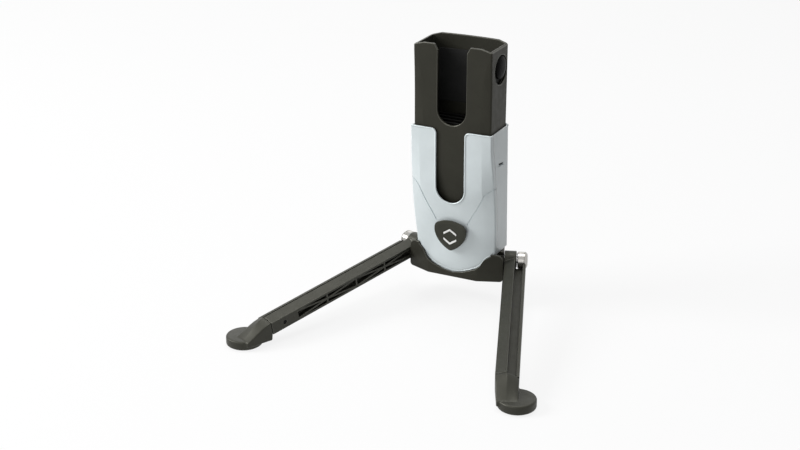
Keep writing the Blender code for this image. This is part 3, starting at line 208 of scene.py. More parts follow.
SCREW_HEAD_HEIGHT = 1.6 * MM

# Legs, hinges and feet
LEG_PLAN_ANGLE = math.radians(20.5)
LEG_SLOPE = math.radians(8.4)
HINGE_FORWARD = 5 * MM
HINGE_Z = 42 * MM
LEG_INNER = 40.8 * MM
LEG_LENGTH = 171.9 * MM
LEG_BOTTOM = -8 * MM
LEG_RIDGE_Z = 5.6 * MM
LEG_INNER_Z = 2.9 * MM
GROOVE_INNER_X = 9.3 * MM
GROOVE_OUTER_X = 16.3 * MM
GROOVE_FLOOR_Z = -4.5 * MM
LEG_OUTER_X = 18.8 * MM
FLANGE_TOP_Z = 1.4 * MM
KNUCKLE_RADIUS = 8 * MM
KNUCKLE_WIDTH = 10.4 * MM
LEG_ROUNDING = 0.4 * MM
TRUSS_START = 11.5 * MM
TRUSS_BAY = 66.5 * MM
TRUSS_DEPTH = 5 * MM
TRUSS_RAIL = 1.8 * MM
TRUSS_BAR = 1.5 * MM
PIN_RADIUS = 3.0 * MM
PIN_INNER = 27.5 * MM
PIN_HEAD_RADIUS = 7.5 * MM
PIN_HEAD_SEAT = 52.3 * MM
PIN_HEAD_OUTER = 61 * MM
PIN_HEAD_DOME = 2.7 * MM
PIN_GROOVE_DEPTH = 0.35 * MM
PIN_HEXAGON = 2.4 * MM
NUT_FLATS = 10 * MM
NUT_SEAT = 31.3 * MM
WASHER_RADIUS = 5.0 * MM
WASHER_RECESS = 0.8 * MM
FOOT_REACH = 190.6 * MM
FOOT_OUT = 58.5 * MM
PAD_RADIUS = 15.25 * MM
PAD_HEIGHT = 8.6 * MM
SOLE_RADIUS = 13.4 * MM
SOLE_HEIGHT = 2.6 * MM
SOLE_PROUD = 0.8 * MM
TREAD_PARTS = (0.30, 0.62)
TREAD_WIDTH = 0.12
TREAD_FACE = 0.55
TREAD_DEPTH = 0.9 * MM
PAD_EDGE = 0.9 * MM
NECK_END = 199 * MM
NECK_STATIONS = 20
NECK_INSET = 2.2 * MM
NECK_BOTTOM = 4 * MM
BOOT_VOXEL = 0.42 * MM
BOOT_SMOOTHING = 14
CROSS_PIN_Y = 158.2 * MM
CROSS_PIN_Z = -2.6 * MM
CROSS_PIN_RADIUS = 1.5 * MM

# Release button
SHIELD_STATIONS = in_mm(
    (0, 52.8), (1.5, 53.1), (4.8, 55), (8.6, 58), (12, 62), (14.2, 66.5), (15.1, 71), (14.6, 75),
    (12.6, 77.7), (8, 79.7), (4, 80.7), (0, 81),
)
SHIELD_CENTRE = 67 * MM
# How far the shield's outline shrinks, in mm, and at what share of the cap's depth
BUTTON_LAYERS = (
    (0.5, 0.0), (0.0, 0.2), (0.0, 0.5), (0.15, 0.62), (0.5, 0.70), (1.9, 0.86), (2.2, 0.93),
    (2.6, 0.98), (3.4, 1.0), (6, 1.0), (9, 1.0), (12, 1.0), (13.6, 1.0),
)
BUTTON_LOW = 52.8 * MM
BUTTON_HIGH = 81 * MM
BUTTON_HALF_WIDTH = 15.1 * MM
BUTTON_FRONT = 17.4 * MM
BUTTON_RISE = 3.6 * MM
BUTTON_STANDOFF = 2.0 * MM
STEM_HALF_WIDTH = 4 * MM
STEM_LOW = 56.5 * MM
STEM_HIGH = 61.5 * MM
RISER_FRONT = -10.3 * MM
MARK_CENTRE_Z = 66 * MM
MARK_HALF_WIDTH = 6 * MM
MARK_BAR = 1.6 * MM
MARK_RISE = 4 * MM
MARK_PITCH = 4.4 * MM
MARK_DEPTH = 0.6 * MM
SPRING_WIRE_RADIUS = 0.35 * MM
SPRING_TURNS = 3

WELD = 0.002 * MM
BODY_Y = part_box("base_bracket")[1].y - BASE_BACK
TO_WORLD = Matrix.Translation((0, BODY_Y, 0))
SIDES = ((-1, "left"), (1, "right"))


# Surfaces

MOTTLE_SIZE = 18 * MM
WEAR_SIZE = 7 * MM


def wired(tree, node, inputs):
    """Give a node's inputs their values, or the outputs of other nodes to follow."""
    for key, value in inputs.items():
        if isinstance(value, bpy.types.NodeSocket):
            tree.links.new(value, node.inputs[key])
        else:
            node.inputs[key].default_value = value
    return node


def new_node(tree, kind, inputs, operation=None):
    node = tree.nodes.new("ShaderNode" + kind)
    if operation:
        node.operation = operation
    return wired(tree, node, inputs)


def surface(name, colour, roughness, metallic=0.0, grain=0.35, relief=0.012, mottle=0.10,
            specular=0.5, coat=0.0, wear=0.06, sheen=(1, 1, 1)):
    """A moulded, painted or metal surface: fine grain, a slow change of tone and an uneven sheen.

    The grain's size and the depth of its relief are in mm.
    """
    made = bpy.data.materials.new(name)
    made.use_nodes = True
    tree = made.node_tree
    place = new_node(tree, "TexCoord", {}).outputs["Object"]

    def noise(size, detail):
        inputs = {"Vector": place, "Scale": 1 / size, "Detail": detail}
        return new_node(tree, "TexNoise", inputs).outputs["Fac"]

    def spread(source, low, high):
        ends = {"From Min": 0.3, "From Max": 0.7, "To Min": low, "To Max": high}
        return new_node(tree, "MapRange", {"Value": source, **ends}).outputs["Result"]

    fine = noise(grain * MM, 2)
    slow_tone = spread(noise(MOTTLE_SIZE, 3), 1 - mottle, 1 + mottle)
    fine_tone = spread(fine, 1 - mottle / 2, 1 + mottle / 2)
    tone = new_node(tree, "Math", {0: slow_tone, 1: fine_tone}, "MULTIPLY")
    shade = new_node(tree, "VectorMath", {0: colour, "Scale": tone.outputs[0]}, "SCALE")
    bump = new_node(tree, "Bump", {"Strength": 0.6, "Distance": relief * MM, "Height": fine})
    wired(tree, tree.nodes["Principled BSDF"], {
        "Base Color": shade.outputs[0],
        "Roughness": spread(noise(WEAR_SIZE, 4), roughness - wear, roughness + wear),
        "Normal": bump.outputs["Normal"],
        "Metallic": metallic,
        "Specular IOR Level": specular,
        "Specular Tint": (*sheen, 1),
        "Coat Weight": coat,
        "Coat Roughness": 0.12,
    })
    return made


WARM = (1, 0.99, 0.86)
BLACK = surface("moulded_black", (0.0175, 0.017, 0.0125), 0.52, specular=0.25, sheen=WARM)
# Lighter than the moulded black: a painted highlight on the rounded edges, which are also glossier
BLACK_PAINTED_HIGHLIGHT = surface("moulded_black_painted_highlight", (0.040, 0.039, 0.032), 0.34, sheen=WARM)
LEG_BLACK = surface("leg_black", (0.015, 0.015, 0.011), 0.48, specular=0.42, sheen=WARM)
# Lighter than the leg black: a painted highlight on the legs' rounded edges, which are also glossier
LEG_PAINTED_HIGHLIGHT = surface("leg_black_painted_highlight", (0.050, 0.050, 0.042), 0.36, sheen=WARM)
SILVER = surface("silver_paint", (0.64, 0.70, 0.71), 0.38, metallic=0.15, grain=0.14,
                 relief=0.003, mottle=0.03, coat=0.1, wear=0.03)
# Lighter than the silver paint: a painted highlight on the shells' rounded edges, which also have a glossier
# coat
SILVER_PAINTED_HIGHLIGHT = surface("silver_painted_highlight", (0.93, 0.945, 0.95), 0.24, metallic=0.15, grain=0.14,
                      relief=0.003, mottle=0.03, coat=0.4, wear=0.03)
BUTTON = surface("button_plastic", (0.022, 0.023, 0.017), 0.40, specular=0.34, sheen=WARM)
MARK = surface("mark_inlay", (0.82, 0.82, 0.80), 0.38, mottle=0.03)
RUBBER = surface("rubber", (0.0065, 0.0065, 0.006), 0.45, grain=0.5, relief=0.03, specular=0.04)
LINER = surface("liner_rubber", (0.008, 0.008, 0.0075), 0.7, grain=0.3, relief=0.03, specular=0.3)
STEEL = surface("zinc_steel", (0.52, 0.51, 0.49), 0.34, metallic=1.0, grain=0.2, relief=0.004)
# Near black with metallic off: painted shade, so that the foot pins read as the dark holes they sit in
PIN_PAINTED_SHADE = surface("steel_painted_shade", (0.005, 0.005, 0.005), 0.6, specular=0.1, grain=0.2, relief=0.004)
CHROME = surface("chrome", (0.40, 0.39, 0.37), 0.20, metallic=1.0, grain=0.4, relief=0.002,
                 mottle=0.04, wear=0.03)
SPRING = surface("spring_steel", (0.42, 0.42, 0.43), 0.28, metallic=1.0, grain=0.2, relief=0.004)


# Shapes

FRONT_VIEW = Matrix(((1, 0, 0, 0), (0, 0, 1, 0), (0, 1, 0, 0), (0, 0, 0, 1)))
SIDE_VIEW = Matrix(((0, 0, 1, 0), (1, 0, 0, 0), (0, 1, 0, 0), (0, 0, 0, 1)))
PLAN_VIEW = Matrix.Identity(4)


@contextlib.contextmanager
def edited(obj):
    """A piece's mesh as a bmesh, written back when the block ends."""
    bm = bmesh.new()
    bm.from_mesh(obj.data)
    yield bm
    bm.to_mesh(obj.data)
    bm.free()


def drawn(bm):
    """An unfinished piece from a bmesh, its faces turned out."""
    bmesh.ops.recalc_face_normals(bm, faces=bm.faces)
    mesh = bpy.data.meshes.new("shape")
    bm.to_mesh(mesh)
    bm.free()
    obj = bpy.data.objects.new("shape", mesh)
    bpy.context.scene.collection.objects.link(obj)
    return obj


def prism(outline, low, high, view):
    """A flat outline given thickness: (x, z) from the front, (y, z) from the side or (x, y) in plan."""
    return prisms([outline], low, high, view)


def prisms(outlines, low, high, view):
    bm = bmesh.new()
    for outline in outlines:
        near = [bm.verts.new(view @ Vector((u, v, low))) for u, v in outline]
        far = [bm.verts.new(view @ Vector((u, v, high))) for u, v in outline]
        bm.faces.new(near)
        bm.faces.new(list(reversed(far)))
        for i in range(len(outline)):
            j = (i + 1) % len(outline)
            bm.faces.new((near[i], far[i], far[j], near[j]))
    return drawn(bm)


def box(x, y, z):
    return prism([(x[0], y[0]), (x[1], y[0]), (x[1], y[1]), (x[0], y[1])], z[0], z[1], PLAN_VIEW)


def loft(rings, split=False):
    """A solid through rings with the same number of points; split cuts its sides into triangles."""
    bm = bmesh.new()
    rows = [[bm.verts.new(point) for point in ring] for ring in rings]
    count = len(rows[0])
    for low, high in zip(rows, rows[1:]):
        for i in range(count):
            j = (i + 1) % count
            bm.faces.new((low[i], low[j], high[j], high[i]))
    if split:
        bmesh.ops.triangulate(bm, faces=bm.faces)
    bm.faces.new(list(reversed(rows[0])))
    bm.faces.new(rows[-1])
    return drawn(bm)


def turn(sides):
    angles = [2 * math.pi * i / sides for i in range(sides)]
    return [(math.cos(a), math.sin(a)) for a in angles]


def turned(profile, place, sides=64):
    """A turned piece: (distance along its axis, radius) pairs, its axis along local X."""
    return loft([[place @ Vector((along, radius * c, radius * s)) for c, s in turn(sides)]
                 for along, radius in profile])


def rod(start, end, radius, place, sides=64):
    return turned([(start, radius), (end, radius)], place, sides)


def tube(path, radius, sides=10):
    """A round bead along a path."""
    rings = []
    side = None
    for i, point in enumerate(path):
        ahead = (path[min(i + 1, len(path) - 1)] - path[max(i - 1, 0)]).normalized()
        if side is None:
            side = ahead.orthogonal().normalized()
        side = (side - ahead * side.dot(ahead)).normalized()
        other = ahead.cross(side)
        rings.append([point + radius * (c * side + s * other) for c, s in turn(sides)])
    return loft(rings)


def combine(target, other, operation):
    boolean = target.modifiers.new("boolean", "BOOLEAN")
    boolean.operation = operation
    boolean.solver = "EXACT"
    boolean.object = other
    apply_modifiers(target)
    with edited(target) as bm:
        bmesh.ops.remove_doubles(bm, verts=bm.verts, dist=WELD)
    bpy.data.objects.remove(other)
    return target


def apply_modifiers(obj):
    bpy.context.view_layer.update()
    graph = bpy.context.evaluated_depsgraph_get()
    mesh = bpy.data.meshes.new_from_object(obj.evaluated_get(graph))
    obj.modifiers.clear()
    obj.data = mesh


def cut(target, *others):
    for other in others:
        combine(target, other, "DIFFERENCE")
    return target


def join(target, *others):
    for other in others:
        combine(target, other, "UNION")


def common(target, other):
    return combine(target, other, "INTERSECT")


def added(target, *others):
    """Lay more meshes into a piece as they are, without a Boolean."""
    with edited(target) as bm:
        for other in others:
            bm.from_mesh(other.data)
            bpy.data.objects.remove(other)


def placed(obj, matrix):
    """Move an unfinished shape, turning its faces out again if the matrix mirrors it."""
    obj.data.transform(matrix)
    if matrix.determinant() < 0:
        obj.data.flip_normals()
    return obj


def arc(centre, radius, start, end, steps):
    """Points on an arc, angles in degrees."""
    angles = [math.radians(start + (end - start) * i / steps) for i in range(steps + 1)]
    return [(centre[0] + radius * math.cos(a), centre[1] + radius * math.sin(a)) for a in angles]


def mirrored(half):
    """A whole ring from its right half, which runs from the front centre to the back centre."""
    return half + [(-x, y) for x, y in reversed(half[1:-1])]


def straight_value(stations, place, column):
    if place <= stations[0][0]:
        return stations[0][column]
    for low, high in zip(stations, stations[1:]):
        if place <= high[0]:
            part = (place - low[0]) / (high[0] - low[0])
            return low[column] + (high[column] - low[column]) * part
    return stations[-1][column]


def smoothstep(t):
    t = min(1.0, max(0.0, t))
    return t * t * (3 - 2 * t)


def station_value(stations, place, column, ease=3 * MM):
    """A value between measured stations, eased over a short stretch."""
    near = (-1.0, -0.5, 0.0, 0.5, 1.0)
    return sum(straight_value(stations, place + part * ease, column) for part in near) / len(near)


def soft_corner(start, corner, end, steps):
    """Points of a rounded corner, from its start to its end."""
    points = []
    for i in range(steps + 1):
        t = i / steps
        weights = ((1 - t) ** 2, 2 * t * (1 - t), t * t)
        points.append(tuple(sum(w * p[axis] for w, p in zip(weights, (start, corner, end)))
                            for axis in (0, 1)))
    return points


def painted(obj, surfaces):
    obj.data.materials.clear()
    for shown in surfaces:
        obj.data.materials.append(shown)


def bevelled(obj, width, segments, angle):
    bevel = obj.modifiers.new("round", "BEVEL")
    bevel.width = width
    bevel.segments = segments
    bevel.limit_method = "ANGLE"
    bevel.angle_limit = math.radians(angle)
    return bevel


def rounded(obj, width, segments, angle=30, surfaces=(BLACK, BLACK_PAINTED_HIGHLIGHT)):
    """Round the edges of a drawn piece; the rounding takes the second surface, whose lighter colour is a
    painted highlight along the edges.
    """
    with edited(obj) as bm:
        bmesh.ops.dissolve_limit(bm, angle_limit=math.radians(0.2), verts=bm.verts, edges=bm.edges)
    painted(obj, surfaces)
    bevel = bevelled(obj, width, segments, angle)
    bevel.use_clamp_overlap = False
    bevel.material = 1 if len(surfaces) > 1 else -1
    apply_modifiers(obj)
    return obj


def settled(obj):
    """Pull back the corners that the rounding has thrown out into spikes."""
    with edited(obj) as bm:
        for vert in list(bm.verts) * 3:
            if math.degrees(sum(loop.calc_angle() for loop in vert.link_loops)) < 50:
                near = [edge.other_vert(vert).co for edge in vert.link_edges]
                vert.co = sum(near, Vector()) / len(near)


def finish_piece(obj, name, body, node, surfaces=None, sharp=40):
    """Name a piece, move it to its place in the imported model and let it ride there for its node."""
    obj.name = name
    obj.data.name = name
    if surfaces:
        painted(obj, surfaces)
    obj.data.transform(TO_WORLD)
    obj.data.shade_smooth()
    obj.data.set_sharp_from_angle(angle=math.radians(sharp))
    weighted = obj.modifiers.new("normals", "WEIGHTED_NORMAL")
    weighted.keep_sharp = True
    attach(obj, body)
    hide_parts(node)


def dress_node(name, shown, width):
    """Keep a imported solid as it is, with its own surface and its edges rounded by a width in mm."""
    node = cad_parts[name]
    painted(node, (shown,))
    weld = node.modifiers.new("weld", "WELD")
    weld.merge_threshold = WELD
    flat = node.modifiers.new("flat", "DECIMATE")
    flat.decimate_type = "DISSOLVE"
    flat.angle_limit = math.radians(1)
    bevelled(node, width * MM, 2, 35)
    node.modifiers.new("normals", "WEIGHTED_NORMAL")


# Body sections


def shell_half(z):
    return SHELL_SIDE + station_value(BODY_STATIONS, z, 3)


def shell_y(x, z):
    """The silver body's front face: bowed low down, a flatter middle between two facets higher up."""
    half = shell_half(z)
    centre, corner = station_value(BODY_STATIONS, z, 1), station_value(BODY_STATIONS, z, 2)
    flat = smoothstep((z - FACET_FADE_LOW) / FACET_FADE_HEIGHT)
    at_line = (FACET_LINE / half) ** 2 * (1 - flat) + FACET_SHARE * flat
    x = abs(x)
    bowed = (x / half) ** 2
    if x < FACET_LINE:
        faceted = at_line * (x / FACET_LINE) ** 2
    else:
        faceted = at_line + (1 - at_line) * (x - FACET_LINE) / (half - FACET_LINE)
    share = bowed * (1 - flat) + faceted * flat
    return -SHELL_FRONT + centre + (corner - centre) * share


def shell_back(z):
    return SHELL_BACK + SHELL_BACK_SLOPE * (SHELL_TOP - z)


def section(front, half, knots, radius, side, back, corner, bow):
    """Right half of a body section: front through its knots, front corner, side and bowed back."""
    points = [(x, front(x)) for x in knots]
    start = (half - radius, front(half - radius))
    points += soft_corner(start, (half, front(half)), (half, front(half) + radius), 6)
    points += arc((side - corner, back - corner), corner, 0, 80, 7)
    last_x, last_y = points[-1]
    steps = 10
    for i in range(1, steps + 1):
        x = last_x * (1 - i / steps)
        points.append((x, last_y + bow * (1 - (x / last_x) ** 2)))
    return points


def socket_section(z, inset):
    """Right half of the tube's section, clear of the silver body's inside at the lowest setting."""
    half = SOCKET_HALF_WIDTH - inset
    radius = max(FRONT_CORNER - inset, MIN_CORNER)
    rise = max(0.0, (z - FACET_FLARE_LOW) / (SOCKET_TOP - FACET_FLARE_LOW))
    strip = min(FACET_HALF_WIDTH + FACET_FLARE * rise ** 2, half - radius - MIN_CORNER)
    crease = min(0.35 * MM, (half - radius - strip) / 3)

    def front(x):
        facet = -SOCKET_FRONT + FACET_SLOPE * max(0.0, x - strip)
        return max(facet, shell_y(x, z - HEIGHT_TRAVEL) + SHELL_WALL + SLIDE_GAP) + inset

    knots = [i * 3.4 * MM for i in range(7)] + [strip - crease, strip + crease]
    return section(front, half, knots, radius, half, SOCKET_BACK - inset,
                   max(SOCKET_CORNER - inset, MIN_CORNER), SOCKET_BOW)


def shell_section(z, inset):
    half = shell_half(z) - inset
    knots = [i * 3.5 * MM for i in range(8)] + [FACET_LINE - 0.3 * MM, FACET_LINE + 0.3 * MM, 32 * MM]
    return section(lambda x: shell_y(x, z) + inset, half, knots, max(SHELL_CORNER - inset, 0.4 * MM),
                   SHELL_SIDE - inset, shell_back(z) - inset,
                   max(SHELL_BACK_CORNER - inset, MIN_CORNER), SHELL_BOW)


def socket_ring(z, inset=0.0):
    return [(x, y, z) for x, y in mirrored(socket_section(z, inset))]


def shell_ring(z, inset=0.0):
    return [(x, y, z) for x, y in mirrored(shell_section(z, inset))]


def between(low, high, steps):
    return [low + (high - low) * i / steps for i in range(steps + 1)]


# Socket


def socket_tube():
    """The tube is drawn at levels that step over its inner floor."""
    top = SOCKET_TOP + RIM_RISE
    heights = between(SOCKET_BOTTOM, 147 * MM, 13) + [160 * MM]
    heights += between(168.6 * MM, top + 2 * MM, 14)
    body = loft([socket_ring(z) for z in heights], True)
    above = [z for z in heights if z > SOCKET_FLOOR_TOP + MM]
    inside = [SOCKET_FLOOR_TOP] + above + [above[-1] + PAST_END]
    cut(body, loft([socket_ring(z, SOCKET_WALL) for z in inside], True))
    roof = SOCKET_FLOOR_TOP - SOCKET_FLOOR_THICKNESS
    below = [z for z in heights if z < roof - MM]
    below = [below[0] - PAST_END] + below + [roof]
    cut(body, loft([socket_ring(z, SOCKET_WALL) for z in below], True))
    shoulder, far = SOCKET_HALF_WIDTH + 0.4 * MM, SOCKET_HALF_WIDTH + PAST_TOP
    rim = [(-far, SOCKET_TOP), (-shoulder, SOCKET_TOP), (-RIM_FLAT_HALF_WIDTH, top),
           (RIM_FLAT_HALF_WIDTH, top), (shoulder, SOCKET_TOP), (far, SOCKET_TOP),
           (far, top + 9 * MM), (-far, top + 9 * MM)]
    cut(body, prism(rim, -PAST_FRONT, PAST_FRONT, FRONT_VIEW))
    slot = arc((0, SLOT_BOTTOM + SLOT_HALF_WIDTH), SLOT_HALF_WIDTH, 180, 360, 28)
    edge = SLOT_HALF_WIDTH + SLOT_CHAMFER
    slot += [(SLOT_HALF_WIDTH, top - SLOT_CHAMFER_HEIGHT), (edge, top), (edge, top + PAST_TOP),
             (-edge, top + PAST_TOP), (-edge, top), (-SLOT_HALF_WIDTH, top - SLOT_CHAMFER_HEIGHT)]
    cut(body, prism(slot, -PAST_FRONT, 0, FRONT_VIEW))
    place = Matrix.Translation((0, BUMPER_HOLE_Y, BUMPER_HOLE_Z))
    cut(body, rod(-PAST_SIDE, PAST_SIDE, BUMPER_HOLE_RADIUS, place))
    rounded(body, TUBE_ROUNDING, 3)
    finish_piece(body, "socket_tube", "socket", "crank_socket")


def rest_pad():
    """Rubber rest on two blocks on the socket's floor; its round-topped ribs run across."""
    inner = SOCKET_WALL + GAP
    high = REST_LOW + REST_HEIGHT
    body = loft([socket_ring(REST_LOW, inner), socket_ring(high, inner)], True)
    depth = SOCKET_FRONT + SOCKET_BACK - 2 * inner
    half = SOCKET_HALF_WIDTH - inner - 3 * MM
    ribs = []
    for i in range(REST_RIBS):
        y = -SOCKET_FRONT + inner + depth * (i + 0.75) / REST_RIBS
        outline = [(y - REST_RIB_RADIUS, high - MM), (y + REST_RIB_RADIUS, high - MM)]
        outline += arc((y, high + REST_RIB_HEIGHT - REST_RIB_RADIUS), REST_RIB_RADIUS, 0, 180, 8)
        ribs.append(prism(outline, -half, half, SIDE_VIEW))
    join(body, *ribs)
    for side in (-1, 1):
        x = side * (SOCKET_HALF_WIDTH - inner - REST_BLOCK_INSET)
        across_x = (x - REST_BLOCK_HALF_WIDTH, x + REST_BLOCK_HALF_WIDTH)
        join(body, box(across_x, both(REST_BLOCK_HALF_DEPTH), (SOCKET_FLOOR_TOP + GAP, REST_LOW + MM)))
    rounded(body, 0.3 * MM, 2, surfaces=(RUBBER,))
    finish_piece(body, "rest_pad", "socket", "crank_rest_pad")


def ribbed_strip(left, right, back_at, thickness):
    """Plan outline of a liner: its back follows the wall, its face has shallow upright flutes."""
    flutes = max(3, round((right - left) / FLUTE_PITCH))
    steps = flutes * 4
    face, back = [], []
    for i in range(steps + 1):
        x = left + (right - left) * i / steps
        dip = FLUTE_DEPTH * (0.5 - 0.5 * math.cos(2 * math.pi * i / 4))
        face.append((x, back_at(x) + thickness(dip)))
        back.append((x, back_at(x)))
    return face + list(reversed(back))


def liners():
    back = SOCKET_BACK - SOCKET_WALL - GAP
    reach = SOCKET_HALF_WIDTH - SOCKET_WALL - 2 * GAP

    def back_wall(x):
        return back + SOCKET_BOW * (1 - (x / reach) ** 2)

    outline = ribbed_strip(-LINER_HALF_WIDTH, LINER_HALF_WIDTH, back_wall, lambda dip: dip - LINER_THICKNESS)
    body = rounded(prism(outline, LINER_LOW, LINER_HIGH, PLAN_VIEW), RUBBER_ROUNDING, 2, 60, (LINER,))
    finish_piece(body, "liner_back", "socket", "back_pad")
    front = -SOCKET_FRONT + SOCKET_WALL + 1.5 * GAP
    near, far = SLOT_HALF_WIDTH + 1.5 * MM, FACET_HALF_WIDTH - 1.5 * MM
    for side, label in SIDES:
        outline = ribbed_strip(near, far, lambda x: front, lambda dip: LINER_THICKNESS - dip)
        body = prism([(side * x, y) for x, y in outline], LINER_LOW, LINER_HIGH, PLAN_VIEW)
        rounded(body, RUBBER_ROUNDING, 2, 60, (LINER,))
        finish_piece(body, f"liner_front_{label}", "socket", f"front_pad_{label}")


def side_bumpers():
    """Domed rubber plugs: a flange inside the tube, a soft dome that stands out through the hole."""
    inside = SOCKET_HALF_WIDTH - SOCKET_WALL - GAP
    shift_y, shift_z = BUMPER_SHIFT
    dome_place = Matrix.Translation((0, BUMPER_HOLE_Y + shift_y, BUMPER_HOLE_Z + shift_z))
    flange_place = Matrix.Translation((0, BUMPER_HOLE_Y - BUMPER_FLANGE_SHIFT, BUMPER_HOLE_Z))
    height = SOCKET_HALF_WIDTH + BUMPER_PROUD - inside
    dome = [(inside - 0.8 * MM, BUMPER_RADIUS), (inside + 0.3 * height, BUMPER_RADIUS)]
    for angle in range(10, 90, 8):
        a = math.radians(angle)
        dome.append((inside + height * (0.3 + 0.7 * math.sin(a)), BUMPER_RADIUS * math.cos(a) ** 0.8))
    flange = BUMPER_HOLE_RADIUS + BUMPER_FLANGE
    for side, label in SIDES:
        body = rod(inside - 1.6 * MM, inside, flange, flange_place)
        join(body, turned(dome, dome_place))
        placed(body, Matrix.Diagonal((side, 1, 1, 1)))
        rounded(body, 0.25 * MM, 2, 50, (RUBBER,))
        finish_piece(body, f"bumper_{label}", "socket", f"side_bumper_{label}")


# Silver body


def seam_region(shift, ahead):
    """Everything ahead of the slanted parting line, or behind it."""
    edge = -FAR if ahead else FAR
    low, high = 10 * MM, SHELL_TOP + 10 * MM
    line = [(SEAM_LOW_Y, low), (SEAM_LOW_Y, SEAM_LOW_Z), (SEAM_HIGH_Y, SEAM_HIGH_Z), (SEAM_HIGH_Y, high)]
    outline = [(y + shift, z) for y, z in line] + [(edge, high), (edge, low)]
    return prism(outline, -FAR, FAR, SIDE_VIEW)


def lip_height(x):
    return station_value(LIP_STATIONS, abs(x), 1, 0.6 * MM)


def ribbon(points, width):
    """The outline of a line with a width, mitred at its bends."""
    left, right = [], []
    for i, point in enumerate(points):
        here = Vector(point)
        ahead = (Vector(points[min(i + 1, len(points) - 1)]) - Vector(points[max(i - 1, 0)])).normalized()
        side = Vector((-ahead.y, ahead.x)) * width / 2
        left.append(tuple(here + side))
        right.append(tuple(here - side))
    return left + list(reversed(right))


def skin(heights, depth):
    """The outer layer of the silver body, from just above its surface to a depth."""
    layer = loft([shell_ring(z, -SKIN_PROUD) for z in heights], True)
    inner = [heights[0] - PAST_END] + heights + [heights[-1] + PAST_END]
    return cut(layer, loft([shell_ring(z, depth) for z in inner], True))


def top_edge(ahead):
    """The path of the bead along the top of the right half of one shell."""
    z = SHELL_TOP - BEAD_INSET
    points = [Vector((x, y, z)) for x, y in shell_section(z, BEAD_INSET)]
    if ahead:
        return [p for p in points if p.y < SEAM_HIGH_Y - GAP]
    return [p for p in points if p.y > SEAM_HIGH_Y + GAP]


def across(path):
    """The same path on the other side, walked back."""
    return [Vector((-p.x, p.y, p.z)) for p in reversed(path)]


def window_shape():
    """The long U in the front shell's middle, flared at its top."""
    outline = arc((0, ARCH_Z), WINDOW_HALF_WIDTH, 180, 360, 32)
    outline += arc((FLARE_X, FLARE_Z), WINDOW_FLARE, 180, 90, 8)
    outline += [(FLARE_X, SHELL_TOP + PAST_TOP), (-FLARE_X, SHELL_TOP + PAST_TOP)]
    outline += arc((-FLARE_X, FLARE_Z), WINDOW_FLARE, 90, 0, 8)
    return prism(outline, -PAST_FRONT, 0, FRONT_VIEW)


def skirt_shape():
    """What is taken off below the front shell, whose skirt tucks in behind the base's lip."""
    edge = between(-SKIRT_HALF_WIDTH, SKIRT_HALF_WIDTH, 24)
    outline = [(x, max(lip_height(x) - SKIRT_TUCK, BASE_BOTTOM + BASE_FLOOR + GAP)) for x in edge]
    high = BASE_TOP + GAP
    outline += [(SKIRT_HALF_WIDTH, high), (FAR, high), (FAR, 0), (-FAR, 0), (-FAR, high),
                (-SKIRT_HALF_WIDTH, high)]
    return prism(outline, -FAR, FAR, FRONT_VIEW)


def front_beads(front):
    """Raised bright edges: round the window and along the top, and along the lower lip."""
    side_x = WINDOW_HALF_WIDTH + BEAD_INSET

    def on_front(points):
        return [Vector((x, shell_y(x, z) + BEAD_INSET, z)) for x, z in points]

    right = list(reversed([p for p in top_edge(True) if p.x > FLARE_X]))
    right += on_front(arc((FLARE_X, FLARE_Z), WINDOW_FLARE - BEAD_INSET, 90, 180, 8))
    right += on_front([(side_x, z) for z in between(FLARE_Z - 2 * MM, ARCH_Z + 2 * MM, 12)])
    arch = on_front(arc((0, ARCH_Z), side_x, 360, 180, 40))
    foot = [(x, lip_height(x) + FOOT_BEAD_LIFT) for x in between(-SKIRT_HALF_WIDTH, SKIRT_HALF_WIDTH, 66)]
    added(front, tube(right + arch + across(right), BEAD_RADIUS))
    added(front, tube(on_front(foot), FOOT_BEAD_RADIUS))


